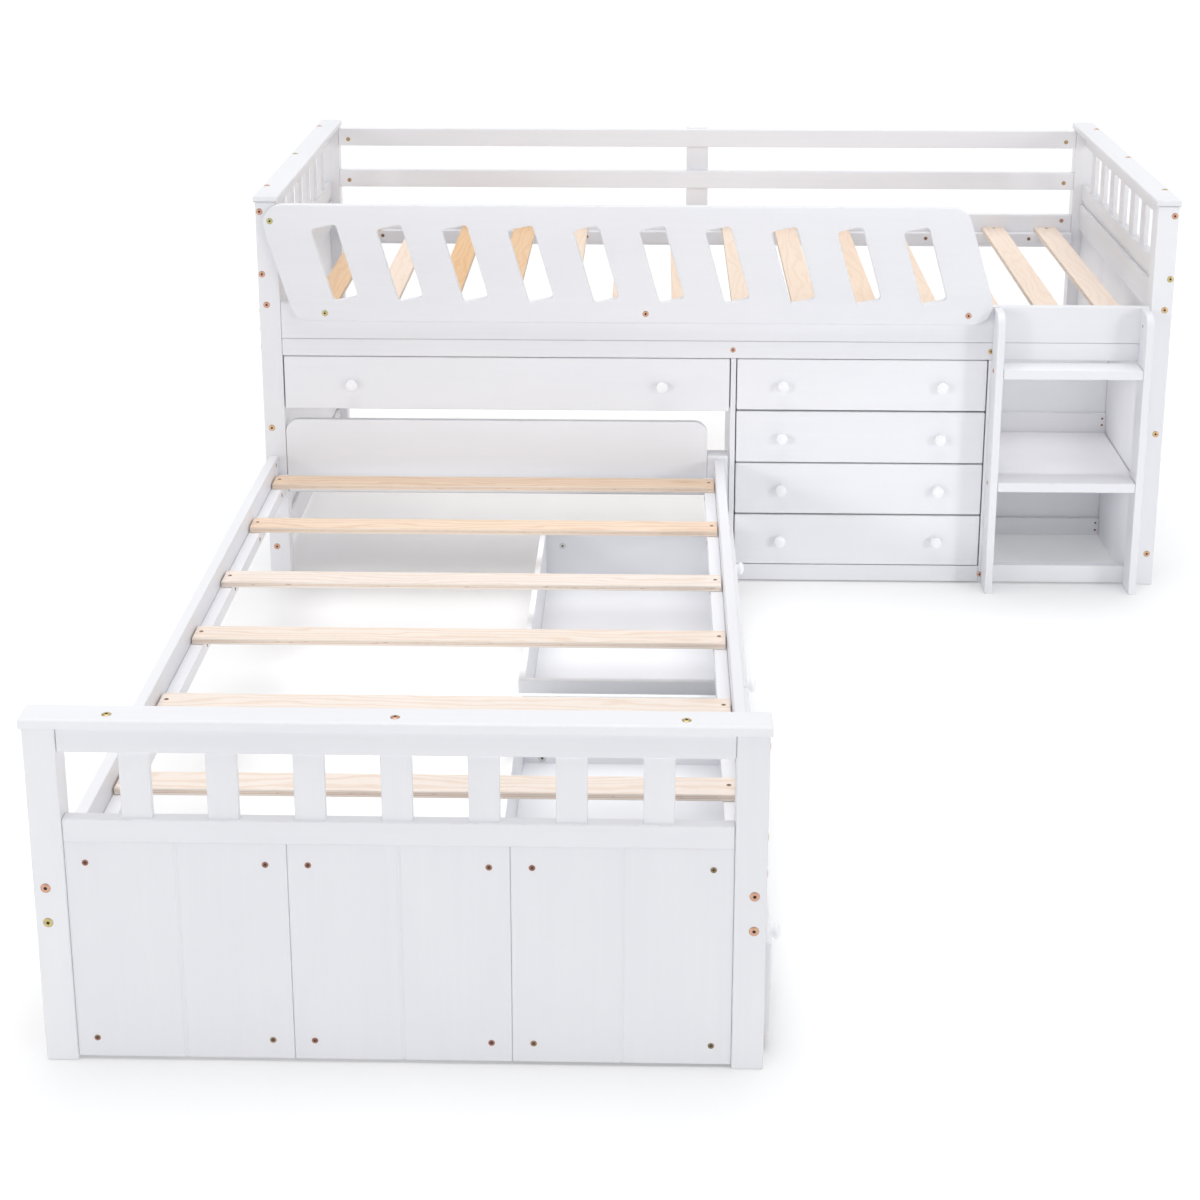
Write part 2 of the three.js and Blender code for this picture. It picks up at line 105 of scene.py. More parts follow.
def grain_of(co, lo, size, along):
    """Along, across and through the board in metres, with the first two shifted to a place of its own."""
    a = "xyz".index(along)
    rest = [i for i in range(3) if i != a]
    through = min(rest, key=lambda i: size[i])
    across = [i for i in rest if i != through][0]
    off = RNG.random(2) * (23.0, 11.0)
    co = np.asarray(co, float)
    return np.stack(
        [
            (co[:, a] - lo[a]) / 1000 + off[0],
            (co[:, across] - lo[across]) / 1000 + off[1],
            (co[:, through] - lo[through]) / 1000,
        ],
        1,
    )


def board(p, x, y, z, along="x", r=1.8, seg=3, mat=0, tone=None):
    """A box with rounded edges."""
    lo = [min(a) for a in (x, y, z)]
    hi = [max(a) for a in (x, y, z)]
    size = [h - l for l, h in zip(lo, hi)]
    r = min(r, 0.42 * min(size))
    bm = bmesh.new()
    bmesh.ops.create_cube(bm, size=1)
    for v in bm.verts:
        v.co = [l + s * (c + 0.5) for l, s, c in zip(lo, size, v.co)]
    made = bmesh.ops.bevel(
        bm, geom=bm.edges[:], offset=r, segments=seg, profile=0.5, affect="EDGES", clamp_overlap=True
    )
    rounded_faces = set(made["faces"])
    bm.verts.index_update()
    co = [tuple(v.co) for v in bm.verts]
    edge = [all(f in rounded_faces for f in v.link_faces) for v in bm.verts]
    faces = [[v.index for v in f.verts] for f in bm.faces]
    bm.free()
    p.add(co, faces, grain_of(co, lo, size, along), edge=edge, tone=tone, mat=mat)


def rounded(points, radii, steps=8):
    """A closed outline whose corners are arcs."""
    out, n = [], len(points)
    for i in range(n):
        c = Vector(points[i])
        a = (Vector(points[i - 1]) - c).normalized()
        b = (Vector(points[(i + 1) % n]) - c).normalized()
        r = radii[i] if isinstance(radii, (list, tuple)) else radii
        if r <= 0:
            out.append(tuple(c))
            continue
        half = math.acos(max(-1, min(1, a.dot(b)))) / 2
        t = r / math.tan(half)
        centre = c + (a + b).normalized() * (r / math.sin(half))
        s, e = c + a * t - centre, c + b * t - centre
        start = math.atan2(s.y, s.x)
        sweep = math.atan2(e.y, e.x) - start
        while sweep > math.pi:
            sweep -= 2 * math.pi
        while sweep < -math.pi:
            sweep += 2 * math.pi
        for k in range(steps + 1):
            u = start + sweep * k / steps
            out.append((centre.x + r * math.cos(u), centre.y + r * math.sin(u)))
    return out


def offset_loop(loop, d):
    """Moves a closed loop to its left by d."""
    q = np.array(loop, float)
    ahead = np.roll(q, -1, 0) - q
    ahead /= np.linalg.norm(ahead, axis=1)[:, None]
    behind = np.roll(ahead, 1, 0)
    n1 = np.stack([-behind[:, 1], behind[:, 0]], 1)
    n2 = np.stack([-ahead[:, 1], ahead[:, 0]], 1)
    k = 1 + (n1 * n2).sum(1)
    return q + (n1 + n2) / np.maximum(k, 0.35)[:, None] * d


def area(loop):
    q = np.array(loop)
    w = np.roll(q, -1, 0)
    return float((q[:, 0] * w[:, 1] - w[:, 0] * q[:, 1]).sum() / 2)


def plate(p, loops, w, place, r=2.0, seg=3, along="x", mat=0, tone=None):
    """A flat part of any outline, first loop outside and the rest holes, with rounded edges on both faces.
    Its thickness runs from w[0] to w[1]; place(u, v, w) gives the working-frame point."""
    thick = w[1] - w[0]
    r = min(r, 0.45 * abs(thick))
    fixed = []
    for i, loop in enumerate(loops):
        loop = list(loop)
        if (area(loop) > 0) != (i == 0):
            loop.reverse()
        fixed.append(loop)
    rows = []
    for side in (0, 1):
        ks = range(seg + 1) if side == 0 else range(seg, -1, -1)
        for k in ks:
            a = math.pi / 2 * k / seg
            inset, depth = r * (1 - math.sin(a)), r * (1 - math.cos(a))
            rows.append((inset, w[0] + depth if side == 0 else w[1] - depth, 0 < k < seg))
    co, faces, edge = [], [], []
    first, last = [], []
    for loop in fixed:
        n, start = len(loop), len(co)
        for inset, depth, on_edge in rows:
            for u, v in offset_loop(loop, inset):
                co.append(place(u, v, depth))
                edge.append(on_edge)
        for k in range(len(rows) - 1):
            for i in range(n):
                j = (i + 1) % n
                a, b = start + k * n, start + (k + 1) * n
                faces.append((a + i, a + j, b + j, b + i))
        first.append(start)
        last.append(start + (len(rows) - 1) * n)
    flat = [[Vector((u, v, 0)) for u, v in offset_loop(loop, rows[0][0])] for loop in fixed]
    index = [(i, k) for i, loop in enumerate(fixed) for k in range(len(loop))]
    for tri in tessellate_polygon(flat):
        f = [index[t] for t in tri]
        faces.append(tuple(first[i] + k for i, k in f))
        faces.append(tuple(last[i] + k for i, k in reversed(f)))
    q = np.array(co)
    lo = q.min(0)
    p.add(co, faces, grain_of(q, lo, q.max(0) - lo, along), edge=edge, tone=tone, mat=mat)


def basis(axis):
    n = Vector(axis).normalized()
    u = n.cross(Vector((0, 0, 1)) if abs(n.z) < 0.9 else Vector((0, 1, 0))).normalized()
    return n, u, n.cross(u)


def ring_radius(shape, angle):
    if shape == "hex":
        return math.cos(math.pi / 6) / math.cos((angle % (math.pi / 3)) - math.pi / 6)
    if shape == "cross":
        return 0.4 + 0.6 * abs(math.cos(2 * angle)) ** 3
    return 1.0


def turned(p, rings, at, axis, n=24, spin=0.0, mat=0, tone=None):
    """A turned part: rings of (radius, height, shape, painted shade of a recess) from the base to the top along an
    axis.
    """
    w, u, v = basis(axis)
    at = Vector(at)
    co, faces, mark, before = [], [], [], None
    for r, t, *more in rings:
        shape = more[0] if more else "round"
        m = more[1] if len(more) > 1 else 0
        if r == 0:
            now = [len(co)]
            co.append(tuple(at + w * t))
            mark.append(m)
        else:
            now = []
            for k in range(n):
                a = 2 * math.pi * k / n
                d = r * ring_radius(shape, a)
                now.append(len(co))
                co.append(tuple(at + w * t + (u * math.cos(a + spin) + v * math.sin(a + spin)) * d))
                mark.append(m)
        if before is not None:
            for k in range(n):
                j = (k + 1) % n
                if len(before) == 1:
                    faces.append((before[0], now[k], now[j]))
                elif len(now) == 1:
                    faces.append((before[k], now[0], before[j]))
                else:
                    faces.append((before[k], now[k], now[j], before[j]))
        before = now
    q = np.array(co)
    p.add(co, faces, (q - q.min(0)) / 1000 + RNG.random(3) * (9, 9, 0), mark=mark, tone=tone, mat=mat)


# fastener shapes: (radius, height above the surface, shape, painted shade in the recess, 1 darkest)
FLANGE_BOLT = [
    (0, 0.02), (7.3, 0.02), (7.3, 0.35), (7.05, 0.62), (6.4, 0.86), (5.2, 1.18), (4.0, 1.38), (3.3, 1.42),
    (2.95, 1.38, "hex"), (2.9, 1.25, "hex", 1), (2.75, 0.2, "hex", 1), (0, 0.12, "hex", 1),
]
WOOD_SCREW = [
    (0, 0.02), (4.3, 0.02), (4.3, 0.25), (4.0, 0.5), (3.2, 0.62), (2.6, 0.62, "cross"), (2.4, 0.5, "cross", 1),
    (1.7, 0.1, "cross", 1), (0, 0.06, "cross", 1),
]
PANEL_SCREW = [
    (0, 0.02), (4.9, 0.02), (4.9, 0.22), (4.5, 0.4), (4.1, 0.42), (3.7, 0.2), (3.0, 0.14, "cross", 0.6),
    (1.8, 0.06, "cross", 1), (0, 0.05, "cross", 1),
]
BARREL = [
    (0, 0.02), (5.6, 0.02), (5.6, 0.12), (5.2, 0.26), (4.6, 0.28), (4.2, 0.1, "round", 1), (3.9, 0.12, "round", 0.4),
    (1.7, 0.3), (1.5, 0.08, "cross", 1), (0, 0.06, "cross", 1),
]
CAM = [
    (0, 0.02), (7.6, 0.02), (7.6, 0.35), (7.2, 0.6), (6.1, 0.66), (5.9, 0.4, "round", 0.8), (5.6, 0.42, "round", 0.1), (3.3, 0.55),
    (2.9, 0.4, "cross", 1), (2.2, 0.1, "cross", 1), (0, 0.06, "cross", 1),
]
# a thin dark disc just wider than a bolt's flange: painted contact shadow that shows as a ring round the bolt head
CONTACT_SHADOW_RING = [(0, 0.01), (7.75, 0.01), (7.75, 0.1), (0, 0.1)]


def fastener(p, kind, at, axis, scale=1.0, n=24, tone=None):
    turned(
        p,
        [(r * scale, t) + tuple(m) for r, t, *m in kind],
        at,
        axis,
        n=n,
        spin=float(RNG.random() * 6.28),
        tone=tone,
    )


# ------------------------------------------------------------------ materials
def linear(r, g, b):
    def one(c):
        c /= 255
        return c / 12.92 if c <= 0.04045 else ((c + 0.055) / 1.055) ** 2.4

    return (one(r), one(g), one(b), 1.0)


class Net:
    """A small helper that builds one node material."""

    def __init__(self, name):
        self.mat = bpy.data.materials.new(name)
        self.mat.use_nodes = True
        self.nt = self.mat.node_tree
        self.nt.nodes.clear()
        out = self.node("ShaderNodeOutputMaterial")
        self.bsdf = self.node("ShaderNodeBsdfPrincipled")
        self.nt.links.new(self.bsdf.outputs[0], out.inputs["Surface"])

    def node(self, kind, **props):
        n = self.nt.nodes.new(kind)
        for k, v in props.items():
            setattr(n, k, v)
        return n

    def put(self, socket, value):
        if isinstance(value, bpy.types.NodeSocket):
            self.nt.links.new(value, socket)
        else:
            socket.default_value = value

    def attr(self, name, out="Fac"):
        return self.node("ShaderNodeAttribute", attribute_type="GEOMETRY", attribute_name=name).outputs[out]

    def math(self, op, a, b=0.0, clamp=False):
        n = self.node("ShaderNodeMath", operation=op, use_clamp=clamp)
        self.put(n.inputs[0], a)
        self.put(n.inputs[1], b)
        return n.outputs[0]

    def vec(self, v, xyz, op="MULTIPLY"):
        n = self.node("ShaderNodeVectorMath", operation=op)
        self.put(n.inputs[0], v)
        self.put(n.inputs[1], xyz)
        return n.outputs[0]

    def noise(self, v, detail=3.0, rough=0.55, distortion=0.0):
        n = self.node("ShaderNodeTexNoise", noise_dimensions="3D")
        self.put(n.inputs["Vector"], v)
        n.inputs["Scale"].default_value = 1.0
        n.inputs["Detail"].default_value = detail
        n.inputs["Roughness"].default_value = rough
        n.inputs["Distortion"].default_value = distortion
        return n.outputs["Fac"]

    def remap(self, v, a, b, c, d, smooth=False):
        n = self.node("ShaderNodeMapRange", interpolation_type="SMOOTHSTEP" if smooth else "LINEAR")
        self.put(n.inputs["Value"], v)
        for key, value in (("From Min", a), ("From Max", b), ("To Min", c), ("To Max", d)):
            self.put(n.inputs[key], value)
        return n.outputs[0]

    def mix(self, fac, a, b, blend="MIX"):
        n = self.node("ShaderNodeMix", data_type="RGBA", blend_type=blend)
        self.put(n.inputs[0], fac)
        self.put(n.inputs[6], a)
        self.put(n.inputs[7], b)
        return n.outputs[2]

    def split(self, v):
        n = self.node("ShaderNodeSeparateXYZ")
        self.put(n.inputs[0], v)
        return n.outputs

    def join(self, x, y, z):
        n = self.node("ShaderNodeCombineXYZ")
        for s, v in zip(n.inputs, (x, y, z)):
            self.put(s, v)
        return n.outputs[0]

    def bump(self, height, strength, distance):
        n = self.node("ShaderNodeBump")
        n.inputs["Strength"].default_value = strength
        n.inputs["Distance"].default_value = distance
        self.put(n.inputs["Height"], height)
        self.nt.links.new(n.outputs[0], self.bsdf.inputs["Normal"])

    def set(self, **values):
        for k, v in values.items():
            self.put(self.bsdf.inputs[k.replace("_", " ")], v)
        return self.mat


def paint(name, light, dark, worn, rough=(0.34, 0.5), grain=1.0, wear=0.22):
    """Satin paint over solid wood: the wood's fibres show faintly through it and edges are rubbed a little."""
    m = Net(name)
    g = m.attr("grain", "Vector")
    cloud = m.noise(m.vec(g, (2.4, 9.0, 9.0)), 3, 0.5)
    streak = m.noise(m.vec(g, (3.2, 95.0, 95.0)), 4, 0.6, 0.3)
    fibre = m.noise(m.vec(g, (16.0, 620.0, 620.0)), 3, 0.6)
    peel = m.noise(m.vec(g, (330.0, 330.0, 330.0)), 2, 0.5)
    tone = m.attr("tone")
    shade = m.math("ADD", m.math("MULTIPLY", cloud, 0.5), m.math("MULTIPLY", streak, 0.26 * grain))
    # tone is random per board where a part sets none; a fixed tone given to a part makes the whole part lighter or
    # darker as painted light and shade
    shade = m.math("ADD", shade, m.math("MULTIPLY", tone, 0.42))
    colour = m.mix(m.remap(shade, 0.3, 0.95, 0.0, 1.0), light, dark)
    nicks = m.remap(m.noise(m.vec(g, (42.0, 42.0, 42.0)), 4, 0.65), 0.5, 0.68, 0.0, 1.0, True)
    rub = m.math("MULTIPLY", m.attr("edge"), m.math("ADD", m.math("MULTIPLY", nicks, wear), 0.05))
    colour = m.mix(rub, colour, worn)
    roughness = m.remap(m.math("ADD", m.math("MULTIPLY", cloud, 0.6), m.math("MULTIPLY", fibre, 0.4)), 0.3, 0.7, *rough)
    roughness = m.math("ADD", roughness, m.math("MULTIPLY", rub, 0.5))
    height = m.math(
        "ADD",
        m.math("MULTIPLY", fibre, 0.45 * grain),
        m.math("ADD", m.math("MULTIPLY", streak, 0.6 * grain), m.math("MULTIPLY", peel, 0.35)),
    )
    m.bump(height, 0.22, 0.0006)
    return m.set(Base_Color=colour, Roughness=roughness, Specular_IOR_Level=0.42)


def bare_wood(name, figure=0.52, knotty=0.8):
    """Pale laminated slats: long fibres, arched rings, knots, and plies that show on the sawn edges.
    The tone of a slat turns it from pale to honey, and figure is how strong its rings are."""
    m = Net(name)
    g = m.attr("grain", "Vector")
    tone = m.attr("tone")
    x, y, z = m.split(g)
    cloud = m.noise(m.vec(g, (2.0, 14.0, 60.0)), 3, 0.5)
    bend = m.noise(m.vec(g, (2.6, 11.0, 0.0)), 3, 0.5)
    rings = m.math("SINE", m.math("ADD", m.math("MULTIPLY", y, 330.0), m.math("MULTIPLY", bend, 46.0)))
    rings = m.remap(rings, -0.2, 1.0, 0.0, 1.0, True)
    fibre = m.noise(m.vec(g, (14.0, 900.0, 900.0)), 4, 0.65)
    pores = m.remap(m.noise(m.vec(g, (60.0, 1500.0, 1500.0)), 2, 0.5), 0.58, 0.72, 0.0, 1.0, True)
    pale = m.mix(cloud, linear(250, 243, 238), linear(243, 232, 223))
    honey = m.mix(cloud, linear(237, 204, 164), linear(228, 186, 140))
    colour = m.mix(tone, pale, honey)
    late = m.mix(tone, linear(232, 211, 192), linear(209, 159, 113))
    colour = m.mix(m.math("MULTIPLY", rings, figure), colour, late)
    colour = m.mix(m.math("MULTIPLY", fibre, 0.26), colour, late)
    colour = m.mix(m.math("MULTIPLY", pores, 0.22), colour, linear(196, 156, 122))
    # knots: small long ovals, few of them
    spots = m.node("ShaderNodeTexVoronoi", voronoi_dimensions="3D", feature="F1")
    warp = m.vec(m.join(m.math("MULTIPLY", bend, 0.3), m.math("MULTIPLY", fibre, 0.12), 0.0), (1, 1, 1), "MULTIPLY")
    m.put(spots.inputs["Vector"], m.vec(m.vec(g, (3.4, 13.0, 0.0)), warp, "ADD"))
    spots.inputs["Scale"].default_value = 1.0
    spots.inputs["Randomness"].default_value = 1.0
    few = m.remap(m.split(spots.outputs["Color"])[0], 0.62, 0.66, 0.0, 1.0)
    near = m.math("MULTIPLY", m.remap(spots.outputs["Distance"], 0.03, 0.085, 1.0, 0.0, True), few)
    halo = m.math("MULTIPLY", m.remap(spots.outputs["Distance"], 0.05, 0.2, 1.0, 0.0, True), few)
    colour = m.mix(m.math("MULTIPLY", halo, 0.35), colour, linear(206, 160, 116))
    colour = m.mix(m.math("MULTIPLY", near, knotty), colour, linear(150, 98, 62))
    # sawn edges: two glue lines, each ply a little different, with small dark gaps
    up = m.math("ABSOLUTE", m.split(m.node("ShaderNodeNewGeometry").outputs["Normal"])[2])
    side = m.remap(up, 0.35, 0.6, 1.0, 0.0)
    wave = m.math("MULTIPLY", m.math("SUBTRACT", m.noise(m.vec(g, (9.0, 9.0, 0.0)), 2, 0.5), 0.5), 0.0012)
    depth = m.math("ADD", z, wave)
    line_a = m.remap(m.math("ABSOLUTE", m.math("SUBTRACT", depth, 0.0047)), 0.0002, 0.0007, 1.0, 0.0, True)
    line_b = m.remap(m.math("ABSOLUTE", m.math("SUBTRACT", depth, 0.0082)), 0.0002, 0.0007, 1.0, 0.0, True)
    glue = m.math("MAXIMUM", line_a, m.math("MULTIPLY", line_b, 0.7))
    cross = m.remap(m.math("ABSOLUTE", m.math("SUBTRACT", depth, 0.0064)), 0.0014, 0.002, 1.0, 0.0, True)
    ply = m.mix(cross, linear(252, 244, 235), linear(246, 232, 218))
    ply = m.mix(m.math("MULTIPLY", m.noise(m.vec(g, (30.0, 30.0, 1900.0)), 3, 0.6), 0.3), ply, linear(214, 188, 164))
    gaps = m.remap(m.noise(m.vec(g, (38.0, 38.0, 900.0)), 3, 0.6), 0.62, 0.68, 0.0, 1.0, True)
    ply = m.mix(m.math("MULTIPLY", glue, 0.6), ply, linear(190, 150, 120))
    ply = m.mix(m.math("MULTIPLY", m.math("MULTIPLY", gaps, cross), 0.9), ply, linear(112, 72, 48))
    ply = m.mix(m.math("MULTIPLY", tone, 0.5), ply, linear(214, 170, 122))
    colour = m.mix(side, colour, ply)
    nicks = m.remap(m.noise(m.vec(g, (60.0, 60.0, 60.0)), 3, 0.6), 0.5, 0.66, 0.0, 1.0, True)
    colour = m.mix(m.math("MULTIPLY", m.attr("edge"), m.math("MULTIPLY", nicks, 0.5)), colour, linear(222, 200, 176))
    roughness = m.remap(m.math("ADD", m.math("MULTIPLY", fibre, 0.7), m.math("MULTIPLY", rings, 0.3)), 0.25, 0.8, 0.55, 0.78)
    height = m.math(
        "ADD",
        m.math("MULTIPLY", fibre, 0.7),
        m.math("SUBTRACT", m.math("MULTIPLY", rings, 0.25), m.math("MULTIPLY", m.math("MAXIMUM", near, m.math("MULTIPLY", glue, side)), 0.8)),
    )
    m.bump(height, 0.4, 0.0005)
    return m.set(Base_Color=colour, Roughness=roughness, Specular_IOR_Level=0.25)


def plated(name, gold, rose, green, dark):
    """Zinc plating: metal whose yellow drifts to rose and green; its last colour is painted shade, laid into sockets
    and grooves where a fastener's recess value is 1.
    """
    m = Net(name)
    g = m.attr("grain", "Vector")
    film = m.noise(m.vec(g, (240.0, 240.0, 240.0)), 3, 0.55, 0.6)
    drift = m.math("ADD", m.math("MULTIPLY", film, 1.0), m.math("MULTIPLY", m.attr("tone"), 0.42))
    colour = m.mix(m.remap(drift, 0.5, 0.64, 0.0, 1.0, True), green, gold)
    colour = m.mix(m.remap(drift, 0.64, 0.78, 0.0, 1.0, True), colour, rose)
    # painted shade: sockets and grooves take the dark colour in place of the shade of their depth
    colour = m.mix(m.attr("mark"), colour, dark)
    scratch = m.noise(m.vec(g, (1400.0, 300.0, 900.0)), 3, 0.6)
    roughness = m.math("ADD", m.remap(scratch, 0.3, 0.7, 0.26, 0.46), m.math("MULTIPLY", m.attr("mark"), 0.3))
    metal = m.remap(m.attr("mark"), 0.0, 1.0, 1.0, 0.25)
    m.bump(scratch, 0.2, 0.0002)
    return m.set(Base_Color=colour, Roughness=roughness, Metallic=metal)


def moulded(name, colour_a, colour_b):
    m = Net(name)
    g = m.attr("grain", "Vector")
    spark = m.noise(m.vec(g, (900.0, 900.0, 900.0)), 3, 0.6)
    cloud = m.noise(m.vec(g, (60.0, 60.0, 60.0)), 3, 0.5)
    m.bump(spark, 0.3, 0.0002)
    return m.set(
        Base_Color=m.mix(cloud, colour_a, colour_b), Roughness=m.remap(spark, 0.3, 0.7, 0.38, 0.6)
    )


WHITE = paint("white_paint", linear(242, 242, 245), linear(233, 233, 237), linear(208, 202, 194))
# knob paint: the same white paint as the fronts, made lighter as painted light so the knob heads read brighter
KNOB_PAINT_LIT = paint("white_paint_knob_lit", linear(249, 249, 251), linear(245, 245, 248), linear(214, 208, 200), (0.26, 0.38), 0.6)
# white board for the backs and drawer boxes, a smoother board of its own; it is also kept lighter than the frame paint
# as painted light that lifts the shaded bay and drawer interiors
BOARD = paint("white_board", linear(243, 244, 247), linear(235, 236, 240), linear(206, 200, 190), (0.4, 0.55), 0.35, 0.15)
WOOD = bare_wood("bare_slat_wood")
SMOOTH_WOOD = bare_wood("bare_loft_slat_wood", 0.2, 0.25)
# the last colour given to each plating is painted shade for the inside of sockets and grooves
YELLOW = plated("yellow_zinc", linear(224, 196, 142), linear(215, 168, 146), linear(188, 192, 132), linear(72, 50, 40))
# dark zinc: the real plating of the dark screws, and also the colour of the painted contact-shadow rings under the
# bolts
DARK_ZINC_AND_SHADOW = plated("dark_zinc_and_shadow", linear(176, 144, 118), linear(168, 122, 108), linear(150, 140, 112), linear(44, 32, 26))
SILVER = plated("bright_zinc", linear(228, 228, 226), linear(220, 218, 216), linear(214, 218, 216), linear(70, 68, 66))
BLACK = moulded("caster_plastic", linear(46, 46, 48), linear(58, 58, 60))

FRAME = "bed_frame"

# ------------------------------------------------------------------ sizes shared by the pieces
GAP = 0.3
LOFT_L, LOFT_W = 2022, 1046
POST_X, POST_Y, POST_H = 47, 45, 877
BED_W, BED_FRONT = 1046, -1997
FOOT_X, FOOT_Y, FOOT_H = 46.5, 46, 528
SLAT_FIRST, SLAT_PITCH, SLAT_W = 131.5, 123.1, 44.4
REAR = LOFT_W - POST_Y

yellow = {k: Piece(k) for k in ("loft_bolts", "foot_bolts", "front_bolts", "ladder_bolts")}
dark_screws = Piece("panel_screws")
slat_screws = Piece("slat_screws")
barrels = Piece("barrel_nuts")


def bolt(p, at, axis, scale=1.0, tone=None):
    # the dark disc under the flange is painted contact shadow
    turned(p, [(r * scale, t) for r, t in CONTACT_SHADOW_RING], at, axis, n=24, mat=1)
    fastener(p, FLANGE_BOLT, at, axis, scale, tone=tone)


GREEN_TINT, GOLD_TINT, ROSE_TINT = 0.02, 0.42, 0.86


# ------------------------------------------------------------------ loft posts, caps, end frames
def grooved(p, place_point, u, t, z, tone=None):
    """Three tongued boards side by side, each with a soft groove down its middle and eased long edges."""
    third = (u[1] - u[0]) / 3
    for i in range(3):
        a, b = u[0] + i * third + (0.04 if i else 0), u[0] + (i + 1) * third - (0.04 if i < 2 else 0)
        m = (a + b) / 2
        ca, cb = (2.2 if i else 0.8), (2.2 if i < 2 else 0.8)
        outline = [(a, t[0] + ca), (a + ca * 0.35, t[0] + ca * 0.3), (a + ca, t[0])]
        for du, dt in ((-4.2, 0), (-3.3, 0.35), (-2.2, 1.15), (-1.0, 1.75), (0, 1.9), (1.0, 1.75), (2.2, 1.15), (3.3, 0.35), (4.2, 0)):
            outline.append((m + du, t[0] + dt))
        outline += [(b - cb, t[0]), (b - cb * 0.35, t[0] + cb * 0.3), (b, t[0] + cb), (b, t[1] - 0.6), (b - 0.6, t[1]), (a + 0.6, t[1]), (a, t[1] - 0.6)]
        plate(p, [outline], z, place_point, r=0.5, seg=2, along="z", tone=tone)


def end_frame(tag, box_of, point_of, width, post, top, mid, panel, cleats, nodes, tone=None):
    inner = [post + GAP, width - post - GAP]
    flat = "y" if tag.startswith("loft") else "x"
    p = Piece(f"{tag}_grille")
    board(p, *box_of(inner, [2, 24], top), along=flat, r=2.2)
    board(p, *box_of(inner, [2, 24], mid), along=flat, r=2.2)
    for i in range(7):
        u = SLAT_FIRST + i * SLAT_PITCH
        board(p, *box_of([u, u + SLAT_W], [7, 19], [mid[1] - 6, top[0] + 6]), along="z", r=2.0)
    p.done(FRAME, [nodes[0]], "white_paint", [WHITE])
    p = Piece(f"{tag}_panel")
    grooved(p, point_of, inner, [4, 18.8], panel, tone)
    for c in cleats:
        board(p, *box_of([inner[0] + 0.4, inner[1] - 0.4], [19, 27.5], [c - 33, c + 33]), along=flat, r=2.0)
    p.done(FRAME, [nodes[1]], "white_paint", [WHITE])


POST_TINTS = {
    "left": (ROSE_TINT, ROSE_TINT, ROSE_TINT, GOLD_TINT, ROSE_TINT),
    "right": (ROSE_TINT, 0.24, GOLD_TINT, 0.5, 0.62),
}
for side, x in (("left", [0, POST_X]), ("right", [LOFT_L - POST_X, LOFT_L])):
    out = -1 if side == "left" else 1
    outer_x = x[0] if side == "left" else x[1]
    for where, y in (("front", [0, POST_Y]), ("rear", [REAR, LOFT_W])):
        p = Piece(f"loft_{where}_{side}_post")
        # fixed tones: the left posts darker than the right ones, as painted shade
        board(p, x, y, [0, POST_H], along="z", r=2.4, tone=0.75 if side == "left" else 0.3)
        p.done(FRAME, [f"loft_post_{where}_{side}"], "white_paint", [WHITE])
    # bolts through the posts into the end rails and cleats, and through them into the long rails
    for y, axis in ((0, (0, -1, 0)), (LOFT_W, (0, 1, 0))):
        for i, (z, inset) in enumerate(((857, 9), (716, 9), (646, 16.5), (360, 16.5), (75, 16.5))):
            bx = inset if side == "left" else LOFT_L - inset
            tint = POST_TINTS[side][i] if axis[1] < 0 else None
            bolt(yellow["loft_bolts"], (bx, y, z), axis, 0.94, tint)
    for y, zs in ((10, (632, 590, 549)), (REAR + 10, (853.5, 744.5, 634, 590))):
        for z in zs:
            bolt(yellow["loft_bolts"], (outer_x, y, z), (out, 0, 0), 0.94)
    p = Piece(f"loft_{side}_cap")
    z0 = POST_H + GAP
    a, b = x[0] - 3.5, x[1] + 3.5
    outline = [(a, z0 + 0.8), (a + 0.8, z0), (b - 0.8, z0), (b, z0 + 0.8), (b, z0 + 11.2), (b - 0.5, z0 + 12.6), (b - 1.7, z0 + 14.2), (b - 3.4, z0 + 15), (a + 3.4, z0 + 15), (a + 1.7, z0 + 14.2), (a + 0.5, z0 + 12.6), (a, z0 + 11.2)]
    # tone 1.0 darkens the caps as painted shade
    plate(p, [outline], [-3, LOFT_W + 3], lambda u, v, w: (u, w, v), r=2.6, seg=4, along="y", tone=1.0)
    p.done(FRAME, [f"loft_cap_{side}"], "white_paint", [WHITE])
    for y in (120, 530, 940):
        bolt(yellow["loft_bolts"], (5 + 3 if side == "left" else 2015 - 1, y, z0 + 15), (0, 0, 1), 0.9)
    if side == "left":
        box_of = lambda u, t, z: ([t[0], t[1]], u, z)
        point_of = lambda u, t, z: (t, u, z)
    else:
        box_of = lambda u, t, z: ([LOFT_L - t[1], LOFT_L - t[0]], u, z)
        point_of = lambda u, t, z: (LOFT_L - t, u, z)
    end_frame(
        f"loft_{side}", box_of, point_of, LOFT_W, POST_Y, [838, 876.7], [697, 735], [35, 696.7], (75, 360, 651),
        (f"loft_end_grille_{side}", f"loft_end_panel_{side}"),
    )
    third = (LOFT_W - 2 * POST_Y) / 3
    for i in range(3):
        for off in (30, third - 30):
            for z in (75, 360, 646):
                at = (4 if side == "left" else LOFT_L - 4, POST_Y + i * third + off, z)
                fastener(dark_screws, PANEL_SCREW, at, (out, 0, 0), 0.9)

